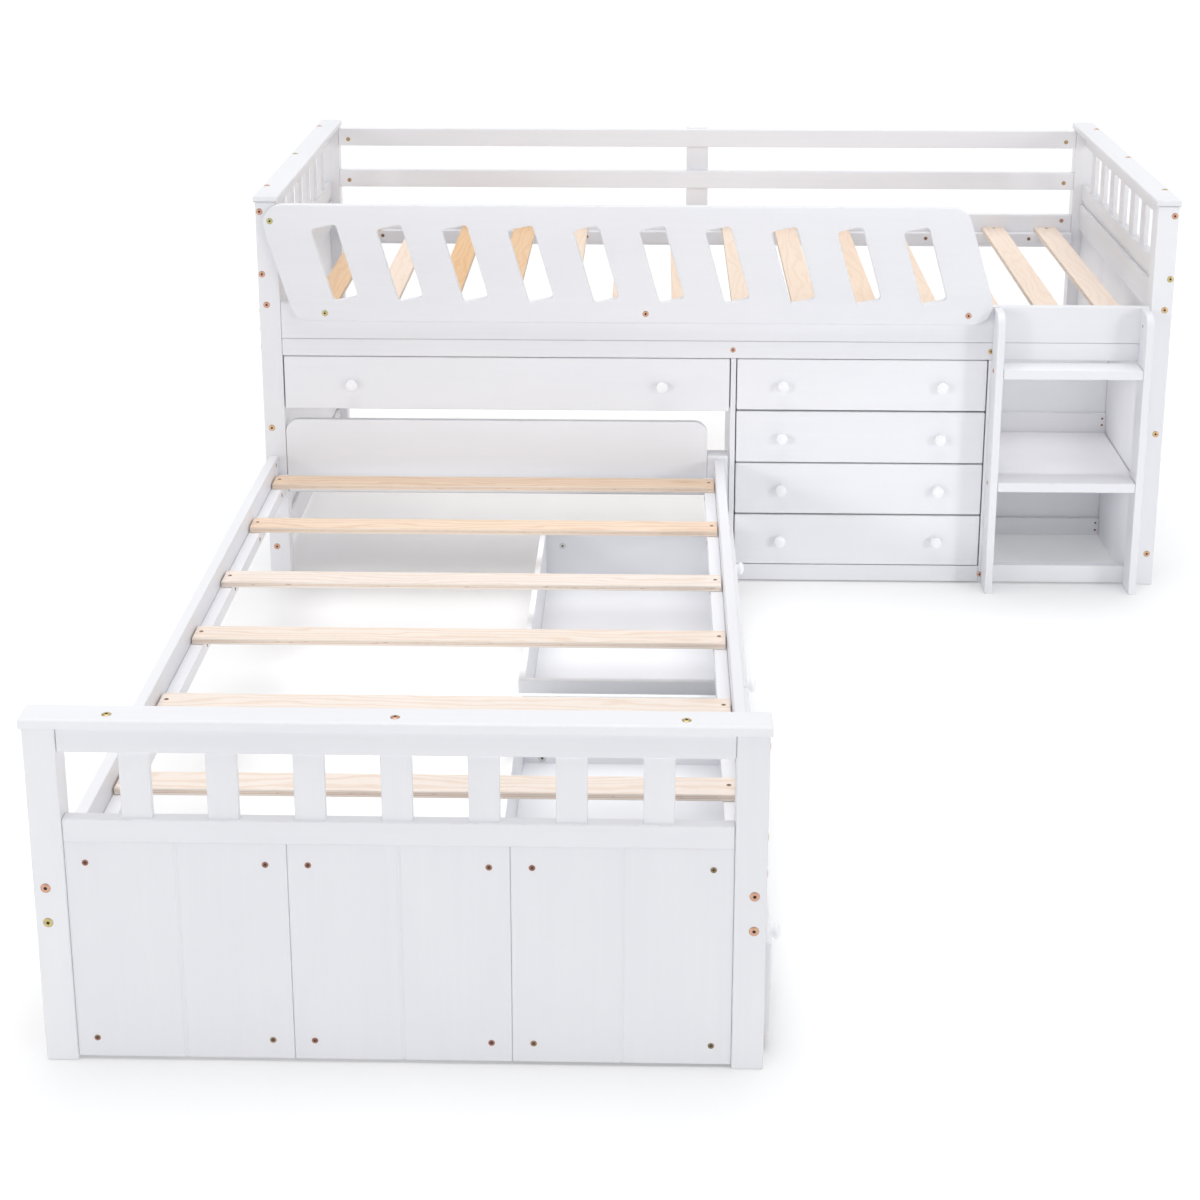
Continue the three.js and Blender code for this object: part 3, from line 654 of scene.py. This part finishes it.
# ------------------------------------------------------------------ long boards of the loft
between = [POST_X + GAP, LOFT_L - POST_X - GAP]
for name, node, y, z in (
    ("front_side_rail", "loft_front_rail", [0, 20], [569.3, 652]),
    ("front_apron", "loft_apron", [0, 20], [529.3, 569]),
    ("rear_side_rail", "loft_rear_rail", [REAR, REAR + 20], [569, 655]),
    ("rear_guard_lower", "guard_rail_lower", [REAR, REAR + 20], [722, 767]),
    ("rear_guard_upper", "guard_rail_upper", [REAR, REAR + 20], [831, 876.5]),
):
    p = Piece(name)
    # fixed tones: the front rail and apron darker, the rear rails lighter, as painted light and shade
    board(p, between, y, z, along="x", r=2.2, tone=0.95 if name.startswith("front") else 0.2)
    p.done(FRAME, [node], "white_paint", [WHITE])
p = Piece("rear_guard_stile")
board(p, [962, 1018], [REAR + 20.3, REAR + 38.3], [569, 879.5], along="z", r=2.2)
p.done(FRAME, ["guard_rail_stile"], "white_paint", [WHITE])
for z in (853, 744, 612):
    fastener(dark_screws, PANEL_SCREW, (990, REAR + 38.3, z), (0, 1, 0))
# barrel nuts of the long rails, near their ends
for x in (POST_X + 26, LOFT_L - POST_X - 26):
    for z, tint in ((848, GOLD_TINT), (740, GOLD_TINT), (640, ROSE_TINT)):
        fastener(barrels, BARREL, (x, REAR, z), (0, -1, 0), 1.0, tone=tint)
    for z in (632, 590):
        fastener(barrels, BARREL, (x, 20, z), (0, 1, 0), 1.0)

# ledgers and loft slats
p = Piece("loft_ledgers")
board(p, between, [20.3, 44.3], [581, 609.7], along="x", r=1.6)
board(p, between, [REAR - 24.3, REAR - 0.3], [581, 609.7], along="x", r=1.6)
p.done(FRAME, [], "white_paint", [WHITE])
for x in (160, 430, 700, 1011, 1322, 1592, 1862):
    fastener(dark_screws, WOOD_SCREW, (x, REAR - 24.3, 596), (0, -1, 0), 1.1)
    fastener(dark_screws, WOOD_SCREW, (x, 44.3, 596), (0, 1, 0), 1.1)
p = Piece("loft_slats")
TONES = [0.85, 0.3, 1.0, 0.9, 0.4, 0.36, 0.42, 0.34, 0.4, 0.46, 0.38, 0.34, 0.3, 0.24]
for i, tone in enumerate(TONES):
    x = 98 + i * 136.95
    board(p, [x, x + 57], [20.4, REAR - 0.4], [610, 622], along="y", r=1.2, seg=2, tone=tone)
    for y, dx in ((32, 24), (REAR - 12, 30)):
        fastener(slat_screws, WOOD_SCREW, (x + dx, y, 622), (0, 0, 1), 0.95)
p.done(FRAME, ["loft_slat_deck"], "raw_slat_wood", [SMOOTH_WOOD])

# guard panel
outline = rounded([(82.5, 613.3), (1641, 613.3), (1561, 876.7), (2.9, 876.7)], 45, steps=14)
holes = []
for i in range(10):
    mx, mz = 173.5 + i * 144.45, 745.9

    def corner(s, t):
        return (mx + s * 54.8 / 2 + t * 45.8 / 2, mz + s * 11.7 / 2 + t * -161.8 / 2)

    holes.append(rounded([corner(-1, -1), corner(-1, 1), corner(1, 1), corner(1, -1)], 8, steps=8))
p = Piece("front_guard_panel")
# tone 1.0 darkens the guard panel as painted shade
plate(p, [outline] + holes, [-18.3, -0.3], lambda u, v, w: (u, w, v), r=3.0, seg=4, along="x", tone=1.0)
p.done(FRAME, ["guard_panel"], "white_paint", [WHITE])
for x, z, tint in ((34.3, 839.6, GREEN_TINT), (148.8, 632.3, GREEN_TINT), (860.7, 635.2, ROSE_TINT), (1572.4, 635, ROSE_TINT)):
    bolt(yellow["front_bolts"], (x, -18.3, z), (0, -1, 0), 0.9, tint)
for x, z, tint in ((1056, 549, ROSE_TINT), (1628, 549, 0.2), (1628, 22, ROSE_TINT)):
    bolt(yellow["front_bolts"], (x, 0, z), (0, -1, 0), 0.76, tint)

# ------------------------------------------------------------------ cabinet and shelf bay
SIDE = [(0, 0), (355, 0), (355, 568), (20.3, 568), (20.3, 529), (0, 529)]


def side_panel(p, x):
    plate(p, [rounded(SIDE, [1.5, 1.5, 1.5, 1.5, 0.6, 1.5], 2)], x, lambda u, v, w: (w, u, v), r=1.0, seg=2, along="z")


FRONTS = {"cabinet_drawer_4": [43, 161.7], "cabinet_drawer_3": [165.3, 284.2], "cabinet_drawer_2": [287.3, 406.7], "cabinet_drawer_1": [410.3, 527.7]}
for side, x, rx in (("left", [1052, 1063.7], [1063.8, 1077.5]), ("right", [1625, 1639], [1611.2, 1624.9])):
    p = Piece(f"cabinet_{side}_side")
    side_panel(p, x)
    for z in FRONTS.values():
        board(p, rx, [20, 340], [z[0] + 4.7, z[0] + 15.6], along="y", r=1.4, seg=2)
    p.done(FRAME, [f"cabinet_side_{side}"], "white_paint", [WHITE])
for name, node, x, y, z, along, mat, slot in (
    ("cabinet_rear_panel", "cabinet_back", [1064, 1624.7], [346, 355], [4, 568], "z", BOARD, "white_board"),
    ("cabinet_base", "cabinet_plinth", [1064, 1624.7], [0, 18], [4, 41.6], "x", WHITE, "white_paint"),
    ("cabinet_stretcher", "cabinet_top", [1064, 1624.7], [20.3, 345.7], [552, 568], "x", WHITE, "white_paint"),
    ("bay_shelf_board", "bay_shelf", [1639.3, 1960.0], [0.3, 331.6], [244, 262], "x", WHITE, "white_paint"),
    ("bay_base_board", "bay_base_rail", [1639.3, 1961.7], [0, 18], [4, 45], "x", WHITE, "white_paint"),
    ("bay_rear_panel", "bay_back_panel", [1639.3, 1961.7], [346, 355], [1, 529], "z", BOARD, "white_board"),
    ("bay_rear_rail_upper", "bay_back_rail_upper", [1639.3, 1961.7], [333.7, 345.7], [244, 308], "x", WHITE, "white_paint"),
    ("bay_rear_rail_lower", "bay_back_rail_lower", [1639.3, 1961.7], [333.7, 345.7], [1, 43], "x", WHITE, "white_paint"),
):
    p = Piece(name)
    # fixed tones: the base a little darker than the other boards, as painted shade
    board(p, x, y, z, along=along, r=1.3 if slot == "white_paint" else 0.8, seg=2, tone=0.5 if name == "cabinet_base" else 0.3)
    p.done(FRAME, [node], slot, [mat])
p = Piece("bay_right_side")
side_panel(p, [1962, 1974.7])
p.done(FRAME, ["bay_side_panel"], "white_paint", [WHITE])
# screws that hold the backs, and the shelf's fittings in the bay
for x in (1085, 1200, 1344, 1490, 1604):
    for z in (16, 556):
        fastener(dark_screws, WOOD_SCREW, (x, 355, z), (0, 1, 0), 0.9)
for z in (120, 286, 450):
    for x in (1074, 1614):
        fastener(dark_screws, WOOD_SCREW, (x, 355, z), (0, 1, 0), 0.9)
for x in (1655, 1800, 1946):
    for z in (20, 276, 516):
        fastener(dark_screws, WOOD_SCREW, (x, 355, z), (0, 1, 0), 0.9)
for z in (280, 296, 14, 32):
    for x in (1649, 1953):
        fastener(dark_screws, WOOD_SCREW, (x, 333.7, z), (0, -1, 0), 0.62)

# ------------------------------------------------------------------ ladder
for side, x in (("left", [1631, 1648.5]), ("right", [1954.5, 1971.5])):
    p = Piece(f"ladder_{side}_stringer")
    outline = rounded([(-67, 0), (-0.3, 0), (-0.3, 650), (-67, 650)], [2, 2, 3, 32], 12)
    # tone 1.0 darkens the stringers as painted shade
    plate(p, [outline], x, lambda u, v, w: (w, u, v), r=2.6, seg=3, along="z", tone=1.0)
    p.done(FRAME, [f"ladder_stringer_{side}"], "white_paint", [WHITE])
for name, node, z in (("ladder_low_step", "ladder_step_lower", [242, 264]), ("ladder_high_step", "ladder_step_upper", [503, 525])):
    p = Piece(name)
    # tone 1.0 darkens the steps as painted shade, for their brightly lit fronts
    board(p, [1648.8, 1954.2], [-67, -0.3], z, along="x", r=3.0, seg=4, tone=1.0)
    p.done(FRAME, [node], "white_paint", [WHITE])
    for x, axis in ((1631, (-1, 0, 0)), (1971.5, (1, 0, 0))):
        bolt(yellow["ladder_bolts"], (x, -34, (z[0] + z[1]) / 2), axis, 0.72)
for x, axis in ((1648.5, (1, 0, 0)), (1954.5, (-1, 0, 0))):
    fastener(slat_screws, WOOD_SCREW, (x, -26, 616), axis, 0.8)

# ------------------------------------------------------------------ lower bed
for side, x in (("left", [0, FOOT_X]), ("right", [BED_W - FOOT_X, BED_W])):
    p = Piece(f"foot_{side}_post")
    board(p, x, [BED_FRONT, BED_FRONT + FOOT_Y], [0, FOOT_H], along="z", r=2.4)
    p.done(FRAME, [f"foot_post_{side}"], "white_paint", [WHITE])
    bx = 17.5 if side == "left" else BED_W - 17.5
    for z, tint in ((280, ROSE_TINT), (225, 0.22 if side == "left" else 0.66)):
        bolt(yellow["foot_bolts"], (bx, BED_FRONT, z), (0, -1, 0), 0.95, tint)
    for z in (507, 367, 309, 47):
        bolt(yellow["foot_bolts"], (0 if side == "left" else BED_W, BED_FRONT + 15, z), (-1 if side == "left" else 1, 0, 0), 0.95)
p = Piece("foot_cap_board")
z0, a, b = FOOT_H + GAP, BED_FRONT - 4, BED_FRONT + FOOT_Y + 4
outline = [(a, z0 + 0.8), (a + 0.8, z0), (b - 0.8, z0), (b, z0 + 0.8), (b, z0 + 11.2), (b - 0.5, z0 + 12.6), (b - 1.7, z0 + 14.2), (b - 3.4, z0 + 15), (a + 3.4, z0 + 15), (a + 1.7, z0 + 14.2), (a + 0.5, z0 + 12.6), (a, z0 + 11.2)]
# tone 0.1 keeps the foot cap light as painted light
plate(p, [outline], [-3.5, BED_W + 3.5], lambda u, v, w: (w, u, v), r=2.6, seg=4, along="x", tone=0.1)
p.done(FRAME, ["foot_cap"], "white_paint", [WHITE])
for x, tint in ((117.4, 0.14), (522.7, 0.7), (929.4, 0.18)):
    bolt(yellow["foot_bolts"], (x, -1980, z0 + 15), (0, 0, 1), 0.9, tint)
# the foot panel's tone of 1.0 darkens it as painted shade
end_frame(
    "foot", lambda u, t, z: (u, [BED_FRONT + t[0], BED_FRONT + t[1]], z), lambda u, t, z: (u, BED_FRONT + t, z),
    BED_W, FOOT_X, [491, 527.7], [352, 388], [6, 351.7], (41, 311), ("foot_grille", "foot_panel"), 1.0,
)
for x in (75.8, 333, 394, 651.5, 712.7, 969.9):
    for z in (319, 36):
        fastener(dark_screws, PANEL_SCREW, (x, BED_FRONT + 4, z), (0, -1, 0), 0.98)

rail_y = [BED_FRONT + FOOT_Y + GAP, -GAP]
for side, x, lx in (("left", [7.5, 27.5], [27.8, 51.8]), ("right", [1018.5, 1038.5], [994.2, 1018.2])):
    p = Piece(f"lower_{side}_rail")
    board(p, x, rail_y, [182, 295], along="y", r=2.4)
    p.done(FRAME, [f"bed_side_rail_{side}"], "white_paint", [WHITE])
    inner = x[1] if side == "left" else x[0]
    face = 1 if side == "left" else -1
    for y in (rail_y[0] + 28, rail_y[1] - 28):
        fastener(barrels, BARREL, (inner, y, 280), (face, 0, 0))
        fastener(barrels, BARREL, (inner, y, 204), (face, 0, 0))
p = Piece("lower_ledgers")
board(p, [27.8, 51.8], rail_y, [222, 249.7], along="y", r=1.6)
board(p, [994.2, 1018.2], rail_y, [222, 249.7], along="y", r=1.6)
p.done(FRAME, [], "white_paint", [WHITE])
for y in range(-1850, -60, 290):
    fastener(dark_screws, WOOD_SCREW, (51.8, y, 236), (1, 0, 0), 1.1)
    fastener(dark_screws, WOOD_SCREW, (994.2, y, 236), (-1, 0, 0), 1.1)
p = Piece("lower_slats")
for near, tone in zip((-1940, -1637, -1325, -1014, -720, -399, -109), (0.22, 0.08, 0.06, 0.14, 0.04, 0.5, 0.58)):
    board(p, [30.4, 1015.6], [near, near + 62], [250, 262], along="x", r=1.2, seg=2, tone=tone)
    for x in (42, 1004):
        fastener(slat_screws, WOOD_SCREW, (x, near + 34, 262), (0, 0, 1), 0.95)
p.done(FRAME, ["bed_slat_deck"], "raw_slat_wood", [WOOD])

p = Piece("head_board_panel")
outline = rounded([(47.8, 207), (1001.7, 207), (1001.7, 380), (47.8, 380)], [2, 2, 30, 30], 12)
# a low fixed tone lightens the head panel as painted light
plate(p, [outline], [0, 18], lambda u, v, w: (u, w, v), r=2.6, seg=3, along="x", tone=0.35)
p.done(FRAME, ["head_panel"], "white_paint", [WHITE])
p = Piece("head_side_leg")
board(p, [1002, 1048], [0, 45], [0, 301], along="z", r=2.4)
p.done(FRAME, ["head_leg"], "white_paint", [WHITE])
bolt(yellow["foot_bolts"], (1025, 45, 280), (0, 1, 0), 0.9)
bolt(yellow["foot_bolts"], (1025, 45, 225), (0, 1, 0), 0.9)
fastener(dark_screws, PANEL_SCREW, (1002, 30, 156), (-1, 0, 0), 0.8)

# ------------------------------------------------------------------ drawers
KNOB = [(0, 0), (9.9, 0), (10.1, 0.8), (10.0, 1.9), (9.6, 3.2), (9.3, 4.6), (9.2, 6.2), (9.3, 7.6), (9.8, 8.8), (10.7, 9.9), (11.8, 10.9), (12.7, 12.0), (13.2, 13.2), (13.4, 14.5), (13.2, 15.8), (12.5, 17.1), (11.2, 18.4), (9.4, 19.5), (7.0, 20.4), (4.2, 20.95), (1.8, 21.2), (0, 21.2)]


def knobs(name, body, spots, axis):
    p = Piece(f"{name}_knobs")
    for at in spots:
        turned(p, KNOB, at, axis, n=40, spin=float(RNG.random()), tone=0.2)
    p.done(body, [], "white_paint", [KNOB_PAINT_LIT], weighted=False, sharp=60)


def tray(name, body, x, y, z, bottom=5, cam_z=None, cam_x=(22, 22)):
    """An open box: four walls, and a bottom set between them a little above their lower edges."""
    p = Piece(f"{name}_tray")
    t = 12
    board(p, x, [y[0], y[0] + t], z, along="x", r=1.2, seg=2)
    board(p, x, [y[1] - t, y[1]], z, along="x", r=1.2, seg=2)
    board(p, [x[0], x[0] + t], [y[0] + t + 0.15, y[1] - t - 0.15], z, along="y", r=1.2, seg=2)
    board(p, [x[1] - t, x[1]], [y[0] + t + 0.15, y[1] - t - 0.15], z, along="y", r=1.2, seg=2)
    board(p, [x[0] + t + 0.1, x[1] - t - 0.1], [y[0] + t + 0.1, y[1] - t - 0.1], [z[0] + 8, z[0] + 8 + bottom], along="x", r=0.6, seg=2)
    p.done(body, [f"{name}_box"], "white_board", [BOARD])
    # cam fittings by each corner, on the inner faces of the end walls
    p = Piece(f"{name}_cams")
    for yy, axis in ((y[0] + t, (0, 1, 0)), (y[1] - t, (0, -1, 0))):
        for xx in (x[0] + t + cam_x[0], x[1] - t - cam_x[1]):
            for zc in cam_z or [(z[0] + z[1]) / 2 + 8]:
                fastener(p, CAM, (xx, yy, zc), axis)
    p.done(body, [], None, [SILVER], weighted=False, sharp=40)


# fixed tones per drawer front: each front made lighter or darker as painted light and shade
FRONT_SHADE_TONES = {"long_drawer": 0.45, "cabinet_drawer_1": 0.15, "cabinet_drawer_2": 0.35, "cabinet_drawer_3": 0.3, "cabinet_drawer_4": 0.0}


def front_board(name, x, y, z, body, along="x"):
    p = Piece(f"{name}_face")
    board(p, x, y, z, along=along, r=3.0, seg=4, tone=FRONT_SHADE_TONES.get(name, 0.2))
    p.done(body, [f"{name}_front"], "white_paint", [WHITE])


for name, z in FRONTS.items():
    front_board(name, [1066, 1622.7], [0, 16], z, name)
    zk = (z[0] + z[1]) / 2 - 2
    knobs(name, name, [(x, 0.2, zk) for x in (1169, 1524)], (0, -1, 0))
    tray(name, name, [1066.5, 1622.2], [16.3, 341], [z[0] + 16, z[1] - 12])
front_board("long_drawer", [49.5, 1049.5], [0, 16], [406, 527.7], "long_drawer")
knobs("long_drawer", "long_drawer", [(x, 0.2, 464) for x in (202, 898)], (0, -1, 0))
tray("long_drawer", "long_drawer", [63, 1036], [16.3, 350], [418, 505])
for side, x, foot in (("left", [47.3, 59.2], [59.3, 79.3]), ("right", [1039.8, 1051.7], [1019.7, 1039.7])):
    p = Piece(f"long_drawer_{side}_hanger")
    board(p, x, [20.3, 355], [408, 568], along="y", r=1.2, seg=2)
    board(p, foot, [20.3, 355], [408, 417.7], along="y", r=1.2, seg=2)
    p.done(FRAME, [f"long_drawer_hanger_{side}"], "white_paint", [WHITE])

CASTER_WHEEL = [(0, -6.5), (9.6, -6.5), (11.4, -5.6), (11.8, -4.2), (11.8, 4.2), (11.4, 5.6), (9.6, 6.5), (5.0, 6.5), (4.4, 5.6), (2.6, 5.6), (2.4, 6.8), (0, 6.8)]
for tag, mid in (("far", -553.5), ("near", -1482.5)):
    name = f"under_bed_drawer_{tag}"
    y = [mid - 435, mid + 435]
    front_board(name, [1042, 1058], [mid - 462.5, mid + 462.5], [21, 178], name, along="y")
    knobs(name, name, [(1057.8, mid + s * 320, 118) for s in (-1, 1)], (1, 0, 0))
    tray(name, name, [632, 1041.7], y, [26, 174], cam_z=(129, 49), cam_x=(35, 11))
    p = Piece(f"{name}_casters")
    for gx in (682, 991.7):
        for gy in (y[0] + 60, y[1] - 60):
            board(p, [gx - 22, gx + 22], [gy - 11, gy + 11], [31.6, 33.8], along="x", r=0.6, seg=2, mat=1)
            for s in (-1, 1):
                board(p, [gx - 9, gx + 9], [gy + s * 9.4 - 0.9, gy + s * 9.4 + 0.9], [11, 31.4], along="x", r=0.6, seg=2, mat=1)
            turned(p, CASTER_WHEEL, (gx, gy, 12.9), (0, 1, 0), n=28, mat=0)
            turned(p, [(0, -10.6), (1.9, -10.6), (1.9, 10.6), (0, 10.6)], (gx, gy, 12.9), (0, 1, 0), n=12, mat=1)
    p.done(name, [], None, [BLACK, SILVER], sharp=40)

# ------------------------------------------------------------------ fasteners
# the second material of the bolt pieces colours their painted contact-shadow rings
for p in yellow.values():
    p.done(FRAME, [], None, [YELLOW, DARK_ZINC_AND_SHADOW], weighted=False, sharp=35)
dark_screws.done(FRAME, [], None, [DARK_ZINC_AND_SHADOW], weighted=False, sharp=35)
slat_screws.done(FRAME, [], None, [DARK_ZINC_AND_SHADOW], weighted=False, sharp=35)
barrels.done(FRAME, [], None, [YELLOW], weighted=False, sharp=35)

# ------------------------------------------------------------------ floor, light and camera
bm = bmesh.new()
bmesh.ops.create_grid(bm, x_segments=8, y_segments=8, size=45)
me = bpy.data.meshes.new("floor")
bm.to_mesh(me)
bm.free()
floor = bpy.data.objects.new("floor", me)
bpy.context.scene.collection.objects.link(floor)
m = Net("pale_floor")
where = m.node("ShaderNodeTexCoord").outputs["Object"]
soft = m.noise(m.vec(where, (1.3, 1.3, 1.3)), 3, 0.5)
m.bump(m.noise(m.vec(where, (260.0, 260.0, 260.0)), 3, 0.6), 0.08, 0.0004)
me.materials.append(m.set(Base_Color=m.mix(soft, linear(240, 240, 240), linear(237, 237, 238)), Emission_Color=(1.0, 1.0, 1.0, 1.0), Emission_Strength=0.12, Roughness=m.remap(soft, 0.3, 0.7, 0.6, 0.7), Specular_IOR_Level=0.1))

# a studio cove: white near the horizon, softer towards the top
world = bpy.data.worlds.new("soft_studio")
bpy.context.scene.world = world
world.use_nodes = True
nodes, links = world.node_tree.nodes, world.node_tree.links
background = nodes["Background"]
direction = nodes.new("ShaderNodeTexCoord")
height = nodes.new("ShaderNodeSeparateXYZ")
fade = nodes.new("ShaderNodeMapRange")
fade.interpolation_type = "SMOOTHSTEP"
for key, value in (("From Min", 0.13), ("From Max", 0.24), ("To Min", 1.0), ("To Max", 0.3)):
    fade.inputs[key].default_value = value
links.new(direction.outputs["Generated"], height.inputs[0])
links.new(height.outputs[2], fade.inputs["Value"])
links.new(fade.outputs[0], background.inputs["Strength"])
background.inputs["Color"].default_value = (0.985, 0.992, 1.0, 1.0)


def wide_light(name, direction, spread, strength, colour=(1.0, 1.0, 1.0)):
    """A very large, distant soft light."""
    data = bpy.data.lights.new(name, "SUN")
    data.angle = math.radians(spread)
    data.energy = strength
    data.color = colour
    ob = bpy.data.objects.new(name, data)
    ob.location = (0, 0, 5)
    ob.rotation_mode = "QUATERNION"
    ob.rotation_quaternion = Vector(direction).to_track_quat("-Z", "Y")
    bpy.context.scene.collection.objects.link(ob)


def softbox(name, at, look, size, watts, spread=180, colour=(1.0, 1.0, 1.0)):
    data = bpy.data.lights.new(name, "AREA")
    data.shape = "RECTANGLE"
    data.size, data.size_y = size
    data.energy = watts
    data.color = colour
    data.spread = math.radians(spread)
    ob = bpy.data.objects.new(name, data)
    ob.location = at
    ob.rotation_mode = "QUATERNION"
    ob.rotation_quaternion = (Vector(look) - Vector(at)).to_track_quat("-Z", "Y")
    ob.visible_camera = False
    bpy.context.scene.collection.objects.link(ob)


wide_light("overhead", (0.03, -0.02, -1), 56, 2.02)
wide_light("front_left", (1.0, 1.0, -0.34), 12, 0.3, (0.97, 0.98, 1.0))
wide_light("front_right", (-1.0, 1.0, -0.34), 12, 0.33, (0.97, 0.98, 1.0))
wide_light("side_right", (-1.0, 0.0, -0.3), 60, 0.16, (0.97, 0.98, 1.0))
wide_light("rear", (-0.15, -1.0, -0.38), 70, 0.45, (0.97, 0.98, 1.0))
softbox("loft_front", (-0.2, -1.5, 1.5), (-0.1, 0.6, 0.3), (2.8, 0.7), 0.12, 110, (0.93, 0.965, 1.0))
softbox("cabinet_left", (-2.5, -2.4, 1.3), (0.36, 0.476, 0.2), (0.45, 0.45), 0.54, 34, (0.97, 0.985, 1.0))
softbox("cabinet_right", (3.2, -2.4, 1.3), (0.36, 0.476, 0.2), (0.45, 0.45), 0.54, 34, (0.97, 0.985, 1.0))
softbox("head_fill", (-0.5, 0.0, 0.38), (-0.5, 0.5, 0.36), (0.9, 0.16), 0.1, 150, (0.86, 0.93, 1.0))
softbox("rear_rail_fill", (0.0, 0.2, 1.3), (0.0, 1.5, 0.72), (2.0, 0.3), 0.9, 80, (0.92, 0.96, 1.0))
softbox("under_bed", (-0.49, -0.6, 0.235), (-0.49, -0.6, 0.0), (0.88, 1.7), 0.7, 170, (0.96, 0.98, 1.0))
for low, high, power in ((0.28, 0.5, 0.12), (0.05, 0.24, 0.075)):
    mid = (low + high) / 2
    softbox("bay_inner", (0.79, 0.482, mid), (0.79, 0.8, mid - 0.02), (0.28, high - low), power * 0.9, 170, (0.96, 0.975, 1.0))

cam = bpy.data.objects.new("camera", bpy.data.cameras.new("camera"))
bpy.context.scene.collection.objects.link(cam)
bpy.context.scene.camera = cam
cam.data.sensor_width = 36
cam.data.sensor_fit = "HORIZONTAL"
cam.data.lens = 67.76
cam.data.shift_y = -0.15
cam.data.clip_end = 200
cam.location = metres([881, -4872, 1847])
pitch, yaw = math.radians(16.711), math.radians(-1.431)
forward = Vector((math.sin(yaw) * math.cos(pitch), math.cos(yaw) * math.cos(pitch), -math.sin(pitch)))
cam.rotation_mode = "QUATERNION"
cam.rotation_quaternion = forward.to_track_quat("-Z", "Y")

scene = bpy.context.scene
scene.view_settings.view_transform = "Standard"
scene.view_settings.look = "None"
